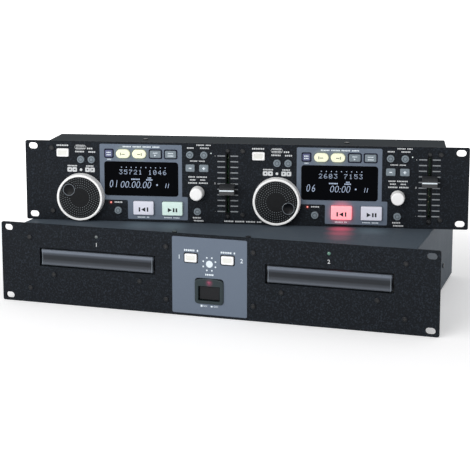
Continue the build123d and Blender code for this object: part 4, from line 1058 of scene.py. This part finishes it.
class KeyLegends(DressOperator):
    """Simple signs on the key caps"""
    bl_idname = "disc_player.key_legends"
    bl_label = "Key legends"

    def execute(self, context):
        ink = sizes().ink_height / MM
        for deck in DECKS:
            rows = [(f"{key}_{deck}", f"{key}_sign_{deck}", REMOTE, *sign) for key, *sign in SIGNS]
            button = f"open_button_{deck}"
            rows.append((button, f"open_button_dish_{deck}", DRIVE, dish_sign, "dish", DISH_DEPTH))
            for node, name, face, sign, finish, depth in rows:
                low, high = span(node, face)
                outlines = sign((low.x + high.x) / 2, (low.y + high.y) / 2)
                floor = high.z - depth
                flat_piece(name, [(outlines, floor, floor + ink)], face, finish, node)
        return {"FINISHED"}


# Each deck's track number, clock, the clock's middle, the first cell of the upper row and its figures
DISPLAYS = (
    ("1", "01", "00.00.00", -10.4, -26.4, "35721 1046"),
    ("2", "06", "00:00", -3.4, -24.0, "2603 7153"),
)
CELL_STEP = 5.4


class Displays(DressOperator):
    """Lit figures on both displays"""
    bl_idname = "disc_player.displays"
    bl_label = "Display figures"

    def execute(self, context):
        glass = span("display_windows", REMOTE)[1].z
        low, high = glass + 0.005, glass + 0.03
        for deck, track, clock, clock_x, row_x, row_figures in DISPLAYS:
            middle = MIDDLES[deck]
            bm = bmesh.new()
            for figure, x in zip(track, (-37.6, -31.9)):
                figures(bm, figure, middle + x, -3.0, 8.6, low, high, 0.2, wide=0.74, bold=-0.2)
            figures(bm, clock, middle + clock_x, -3.5, 7.9, low, high, 0.2, wide=0.92, bold=-0.22)
            figures(bm, "11", middle + 24.4, -3.9, 5.0, low, high, 0.25, wide=0.8)
            flat(bm, [circle(middle + 13.8, -3.0, 0.9, 12)], low, high)
            flat(bm, broken_bar(middle, -15.0, -5.2, 2.9, 1.5), low, high)
            small = broken_bar(middle, 1.6, 8.8, 2.5, 1.5) + broken_bar(middle, 3.2, 7.4, 4.6, 1.3)
            flat(bm, small, low, high)
            dots = []
            for cell, digit in enumerate(row_figures):
                x = middle + row_x + cell * CELL_STEP
                dots.append(circle(x + 0.8, 16.0, 0.55, 8))
                if digit != " ":
                    dots += cell_dots(digit, x, 10.8)
            flat(bm, dots, low, high)
            finish_piece(f"display_figures_{deck}", bm, REMOTE, "glyph", "controller")
        return {"FINISHED"}


# Plain figures of five by seven dots: each row's dots as the bits of a number
CELL_FIGURES = {
    "0": (14, 17, 19, 21, 25, 17, 14),
    "1": (4, 12, 4, 4, 4, 4, 14),
    "2": (14, 17, 1, 2, 4, 8, 31),
    "3": (31, 2, 4, 2, 1, 17, 14),
    "4": (2, 6, 10, 18, 31, 2, 2),
    "5": (31, 16, 30, 1, 1, 17, 14),
    "6": (6, 8, 16, 30, 17, 17, 14),
    "7": (31, 1, 2, 4, 8, 8, 8),
}


def cell_dots(digit, x, y):
    """A plain figure as five by seven dots."""
    pitch = 0.72
    dots = []
    for row, bits in enumerate(CELL_FIGURES[digit]):
        for column in range(5):
            if bits >> (4 - column) & 1:
                dots.append(rounded(x + (column - 2) * pitch, y + (3 - row) * pitch, 0.6, 0.6, 0.12, 1))
    return dots


# Rings of dots on a jog disc; its dimple's distance from the middle, rim, and distance from the dots
DOT_RINGS = 5
FIRST_RING = 11.3
DIMPLE_AWAY = 14.7
DIMPLE_RIM = 6.3
DIMPLE_CLEAR = 7.6
DIMPLE_TURNS = {"1": 144.0, "2": -27.0}


class JogDetails(DressOperator):
    """Grip dots of the jog discs, and pale hoops on the dimples' rims that carry a painted highlight"""
    bl_idname = "disc_player.jog_details"
    bl_label = "Jog disc details"

    def execute(self, context):
        dot, step = sizes().dot_width / MM / 2, sizes().dot_step / MM
        for deck in DECKS:
            body = f"jog_disc_{deck}"
            centre = JOGS[deck]
            top = span(body, REMOTE)[1].z
            turn = math.radians(DIMPLE_TURNS[deck])
            dimple = (centre.x + DIMPLE_AWAY * math.cos(turn), centre.y + DIMPLE_AWAY * math.sin(turn))
            bm = bmesh.new()
            for ring in range(DOT_RINGS):
                radius = FIRST_RING + step * ring
                count = round(2 * math.pi * radius / step)
                for index in range(count):
                    turn = 2 * math.pi * (index + ring % 2 / 2) / count
                    x, y = centre.x + radius * math.cos(turn), centre.y + radius * math.sin(turn)
                    if math.hypot(x - dimple[0], y - dimple[1]) > DIMPLE_CLEAR:
                        dome(bm, x, y, top, dot, dot * 0.5, 8, 4)
            finish_piece(f"jog_dots_{deck}", bm, REMOTE, "dots", body, smooth=True)
            bm = bmesh.new()
            # Pale hoop round the dimple, a painted highlight on its rim
            hoop(bm, *dimple, top - 0.05, DIMPLE_RIM, 0.55, flatten=0.7)
            finish_piece(f"jog_rim_highlights_{deck}", bm, REMOTE, "rim", body, smooth=True)
        return {"FINISHED"}


class FaderLines(DressOperator):
    """White line across each fader cap"""
    bl_idname = "disc_player.fader_lines"
    bl_label = "Fader lines"

    def execute(self, context):
        for deck in DECKS:
            body = f"fader_cap_{deck}"
            low, high = span(body, REMOTE)
            x, y = (low.x + high.x) / 2, (low.y + high.y) / 2
            crown = high.z - 1.1
            line = [rounded(x, y, high.x - low.x - 0.2, 1.5, 0.2)]
            layers = [(line, crown - 0.05, crown + 0.12)]
            flat_piece(f"fader_line_{deck}", layers, REMOTE, "bright_mark", body)
        return {"FINISHED"}


class DrivePlate(DressOperator):
    """Blue-grey plate in the middle of the drive's panel, with openings for keys and switch"""
    bl_idname = "disc_player.drive_plate"
    bl_label = "Drive plate"

    def execute(self, context):
        high = sizes().plate_height / MM
        low, top = span("power_switch_bezel", DRIVE)
        holes = [rounded(side * 20.2, 18.85, 16.0, 11.4, 1.9) for side in (-1, 1)]
        holes.append(rounded(0, (low.y + top.y) / 2, top.x - low.x + 0.2, top.y - low.y + 0.2, 3.6))
        outlines = [rounded(0, -0.1, 82.6, 82.3, 1.6)] + holes
        flat_piece("drive_plate", [(outlines, OFF_PAINT, high)], DRIVE, "plate", "drive")
        return {"FINISHED"}


# Middles of the trays' lamps and figures, of the disc mark and of the words under the switch
TRAY_X = 128
DISC_MARK = (0.2, 13.4)
SWITCH_WORDS = -32.0


class DrivePrints(DressOperator):
    """Plain figures, bars and a ring of dots on the drive's panel"""
    bl_idname = "disc_player.drive_prints"
    bl_label = "Drive print"

    def execute(self, context):
        high = sizes().ink_height / MM
        plate = sizes().plate_height / MM
        bm = bmesh.new()
        for x, words in ((-TRAY_X, "1"), (TRAY_X, "2")):
            figures(bm, words, x, 25.1, 4.2, OFF_PAINT, high, bold=0.06)
        finish_piece("tray_figures", bm, DRIVE, "ink", "drive")
        low, high = plate, plate + high
        bm = bmesh.new()
        for x, words in ((-33.3, "1"), (35.5, "2")):
            figures(bm, words, x, 19.0, 4.6, low, high, bold=0.06)
        for bars in ((-28.0, -11.8, 26.9, 2.0), (12.6, 28.8, 26.9, 2.0), (-4.6, 5.0, 2.0, 2.0)):
            flat(bm, broken_bar(0, *bars), low, high)
        # Plain disc with eight round marks about it
        x, y = DISC_MARK
        flat(bm, [circle(x, y, 3.7, 40)], low, high)
        for index in range(8):
            turn = 2 * math.pi * (index + 0.5) / 8
            flat(bm, [circle(x + 7.3 * math.cos(turn), y + 7.3 * math.sin(turn), 0.9, 12)], low, high)
        for words, x in (("ON", -4.6), ("OFF", 7.2)):
            figures(bm, words, x, SWITCH_WORDS, 2.0, low, high)
        for x, tall in ((-8.6, 2.2), (2.6, 1.5)):
            flat(bm, [rounded(x, SWITCH_WORDS, 2.2, tall, 0.4)], low, high)
        finish_piece("drive_plate_print", bm, DRIVE, "bright_mark", "drive")
        return {"FINISHED"}


class Lamps(DressOperator):
    """Small lamps on both units"""
    bl_idname = "disc_player.lamps"
    bl_label = "Lamps"

    def execute(self, context):
        for deck, x, finish in (("1", -TRAY_X, "tray_lamp"), ("2", TRAY_X, "green_lamp")):
            bm = bmesh.new()
            dome(bm, x, 33.85, -0.2, 1.85, 0.9, 24, 12)
            finish_piece(f"tray_lamp_{deck}", bm, DRIVE, finish, "drive", smooth=True)
        bezel = span("power_switch_bezel", DRIVE)[1].z
        x, y = POWER_LAMP
        bm = bmesh.new()
        flat(bm, [[(x - 2.6, y + 1.6), (x, y - 2.0), (x + 2.6, y + 1.6)]], bezel + 0.01, bezel + 0.08)
        finish_piece("power_lamp", bm, DRIVE, "dim_red_lamp", "drive", smooth=True)
        for deck in DECKS:
            for name, (x, y), radius, finish in (
                ("brake_lamp", BRAKE_LAMP, 0.95, "red_lamp"), ("pitch_lamp", PITCH_LAMP, 0.7, "pale_lamp")
            ):
                bm = bmesh.new()
                dome(bm, MIDDLES[deck] + x, y, 0.05, radius, radius * 0.55, 20, 10)
                finish_piece(f"{name}_{deck}", bm, REMOTE, finish, "controller", smooth=True)
        return {"FINISHED"}


# Middles of the panel screws, of the small ones at the faders' ends, and the height of their heads
DRIVE_SCREWS = [(x, y) for x in (48.1, 206.8) for y in (28.95, -27.95)] + [(78.2, -10.95), (178.5, -10.95)]
REMOTE_SCREWS = [(x, y) for x in (-211.3, 0.0, 211.3) for y in (36.15, -34.15)]
FADER_SCREWS = [(MIDDLES[deck] + FADER[0], FADER[1] + rise) for deck in DECKS for rise in (-36.2, 36.2)]
SCREW_HEAD = 1.4


class ScrewRecessShade(DressOperator):
    """Flat dark crosses on the screw heads: painted shade standing for their cross recesses"""
    bl_idname = "disc_player.screw_recesses"
    bl_label = "Screw recesses"

    def execute(self, context):
        long = sizes().recess_width / MM
        low, high = SCREW_HEAD - 0.02, SCREW_HEAD + 0.02
        drive = [cross_outline(side * x, y, long, 0.75) for x, y in DRIVE_SCREWS for side in (-1, 1)]
        flat_piece("drive_screw_recess_shade", [(drive, low, high)], DRIVE, "recess", "drive")
        remote = [cross_outline(x, y, long, 0.75) for x, y in REMOTE_SCREWS]
        small = [cross_outline(x, y, long * 0.8, 0.6) for x, y in FADER_SCREWS]
        layers = [(remote, low, high), (small, low, high)]
        flat_piece("controller_screw_recess_shade", layers, REMOTE, "recess", "controller")
        return {"FINISHED"}


# Rear audio sockets, seen from behind: left, right and digital ones
SOCKETS = {
    "white": ((-150, 41), (-128, 41)),
    "red": ((-150, 26), (-128, 26)),
    "orange": ((-106, 41), (-106, 26)),
}


class SocketRings(DressOperator):
    """Coloured rings round the rear audio sockets: white above red, and a pair of orange ones"""
    bl_idname = "disc_player.socket_rings"
    bl_label = "Socket rings"

    def execute(self, context):
        for name, spots in SOCKETS.items():
            bm = bmesh.new()
            for x, y in spots:
                hoop(bm, x, y, 1.1, 4.75, 0.8, 40, 8)
            piece, finish = f"{name}_socket_rings", f"{name}_ring"
            finish_piece(piece, bm, REAR, finish, "drive", smooth=True)
        return {"FINISHED"}


# ---------------------------------------------------------------- stage
CAMERA_PLACE = (0.41182, -1.35600, 0.36955)
CAMERA_LENS = 97.171
CAMERA_SHIFT = -0.1538
CAMERA_RISE = 9.0
CAMERA_TURN = 17.651
FLOOR_DROP = 0.0002
FLOOR_HALF = 12.0
LAMPS_AIM = Vector((0, 0, 0.08))


def shown(tree):
    """1 for the rays that are to meet a white background: the camera's, mirrored and passing ones."""
    path = tree.nodes.new("ShaderNodeLightPath")
    seen = math_node(tree, "MAXIMUM", path.outputs["Is Camera Ray"], path.outputs["Is Glossy Ray"])
    return math_node(tree, "MAXIMUM", seen, path.outputs["Is Transmission Ray"])


def floor_finish(colour):
    """Matt pale floor that looks white to the camera and keeps the object's shadow."""
    material, tree, shader = blank("Floor")
    fine = placed(tree, "grain", Scale=60.0, Speckle=0.2)
    tone = blend_colour(tree, fine.outputs["Cloud"], tuple(v * 0.99 for v in colour), colour)
    tree.links.new(tone, shader.inputs["Base Color"])
    shader.inputs["Roughness"].default_value = 0.9
    shader.inputs["Specular IOR Level"].default_value = 0.0
    # Near the object the floor keeps its shadow, and further off it meets the white surround
    away = distance_to(tree, object_place(tree), (0, 0, 0))
    spread = remapped(tree, away, 0.33, 0.8, 0.26, 1.0, "SMOOTHSTEP")
    glow = tree.nodes.new("ShaderNodeEmission")
    tree.links.new(math_node(tree, "MULTIPLY", shown(tree), spread), glow.inputs["Strength"])
    add = tree.nodes.new("ShaderNodeAddShader")
    tree.links.new(shader.outputs[0], add.inputs[0])
    tree.links.new(glow.outputs[0], add.inputs[1])
    tree.links.new(add.outputs[0], tree.nodes["Material Output"].inputs["Surface"])
    return material


def place_camera(scene):
    """The camera at the photo's angle."""
    data = bpy.data.cameras.new("camera")
    data.lens = CAMERA_LENS
    data.sensor_width = 36
    data.shift_y = CAMERA_SHIFT
    data.clip_end = 50
    camera = bpy.data.objects.new("camera", data)
    camera.location = CAMERA_PLACE
    camera.rotation_euler = (math.radians(90 - CAMERA_RISE), 0, math.radians(CAMERA_TURN))
    scene.collection.objects.link(camera)
    scene.camera = camera


def lay_floor(scene, colour):
    """A wide pale floor just under the feet."""
    bm = bmesh.new()
    bmesh.ops.create_grid(bm, x_segments=2, y_segments=2, size=FLOOR_HALF)
    bmesh.ops.translate(bm, verts=bm.verts, vec=(0, 0, -FLOOR_DROP))
    mesh = bpy.data.meshes.new("floor")
    bm.to_mesh(mesh)
    bm.free()
    mesh.materials.append(floor_finish(colour))
    floor = bpy.data.objects.new("floor", mesh)
    scene.collection.objects.link(floor)


def make_surround(scene, strength):
    """A white surround that lights the object at a plain level."""
    world = bpy.data.worlds.new("surround")
    scene.world = world
    world.use_nodes = True
    tree = world.node_tree
    light = tree.nodes["Background"]
    light.inputs["Strength"].default_value = strength
    seen = tree.nodes.new("ShaderNodeBackground")
    for background in (light, seen):
        background.inputs["Color"].default_value = (1, 1, 1, 1)
    mix = tree.nodes.new("ShaderNodeMixShader")
    tree.links.new(shown(tree), mix.inputs[0])
    tree.links.new(light.outputs[0], mix.inputs[1])
    tree.links.new(seen.outputs[0], mix.inputs[2])
    tree.links.new(mix.outputs[0], tree.nodes["World Output"].inputs["Surface"])


def hang_lamp(scene, name, place, size, watts):
    """A square lamp that points at the controller."""
    light = bpy.data.lights.new(name, "AREA")
    light.size = size
    light.energy = watts
    lamp = bpy.data.objects.new(name, light)
    lamp.location = place
    lamp.rotation_euler = (LAMPS_AIM - Vector(place)).to_track_quat("-Z", "Y").to_euler()
    scene.collection.objects.link(lamp)


class StageSetup(DressOperator):
    """Pale floor, soft lights, white surround and the camera"""
    bl_idname = "disc_player.stage"
    bl_label = "Stage"

    def execute(self, context):
        scene = context.scene
        values = scene.disc_player_stage
        scene.view_settings.view_transform = "Standard"
        place_camera(scene)
        lay_floor(scene, tuple(values.floor))
        make_surround(scene, values.sky)
        hang_lamp(scene, "key", (-0.6, -1.9, 1.0), 1.4, values.key_watts)
        hang_lamp(scene, "fill", (-1.6, -1.0, 0.7), 1.2, values.fill_watts)
        return {"FINISHED"}


# ---------------------------------------------------------------- panel and registration
STEPS = (
    FrameFinishes, DeckPlates, PanelPrints, KeyLegends, Displays, JogDetails, FaderLines,
    DrivePlate, DrivePrints, Lamps, ScrewRecessShade, SocketRings, StageSetup,
)


GROUPS = {
    "disc_player_sizes": DiscPlayerSizes,
    "disc_player_colours": DiscPlayerColours,
    "disc_player_stage": DiscPlayerStage,
}


class DiscPlayerPanel(bpy.types.Panel):
    """Lists the pieces and their sizes and colours"""
    bl_idname = "VIEW3D_PT_disc_player"
    bl_label = "Disc player"
    bl_space_type = "VIEW_3D"
    bl_region_type = "UI"
    bl_category = "Disc player"

    def draw(self, context):
        for group in GROUPS:
            values = getattr(context.scene, group)
            box = self.layout.box()
            for name in values.__annotations__:
                box.prop(values, name)
        for step in STEPS:
            self.layout.operator(step.bl_idname)


CLASSES = (*GROUPS.values(), *STEPS, DiscPlayerPanel)


def register():
    for item in CLASSES:
        bpy.utils.register_class(item)
    for name, kind in GROUPS.items():
        setattr(bpy.types.Scene, name, bpy.props.PointerProperty(type=kind))


def unregister():
    for name in GROUPS:
        delattr(bpy.types.Scene, name)
    for item in reversed(CLASSES):
        bpy.utils.unregister_class(item)


def main():
    register()
    for step in STEPS:
        getattr(bpy.ops.disc_player, step.bl_idname.split(".")[1])()


if __name__ == "__main__":
    main()
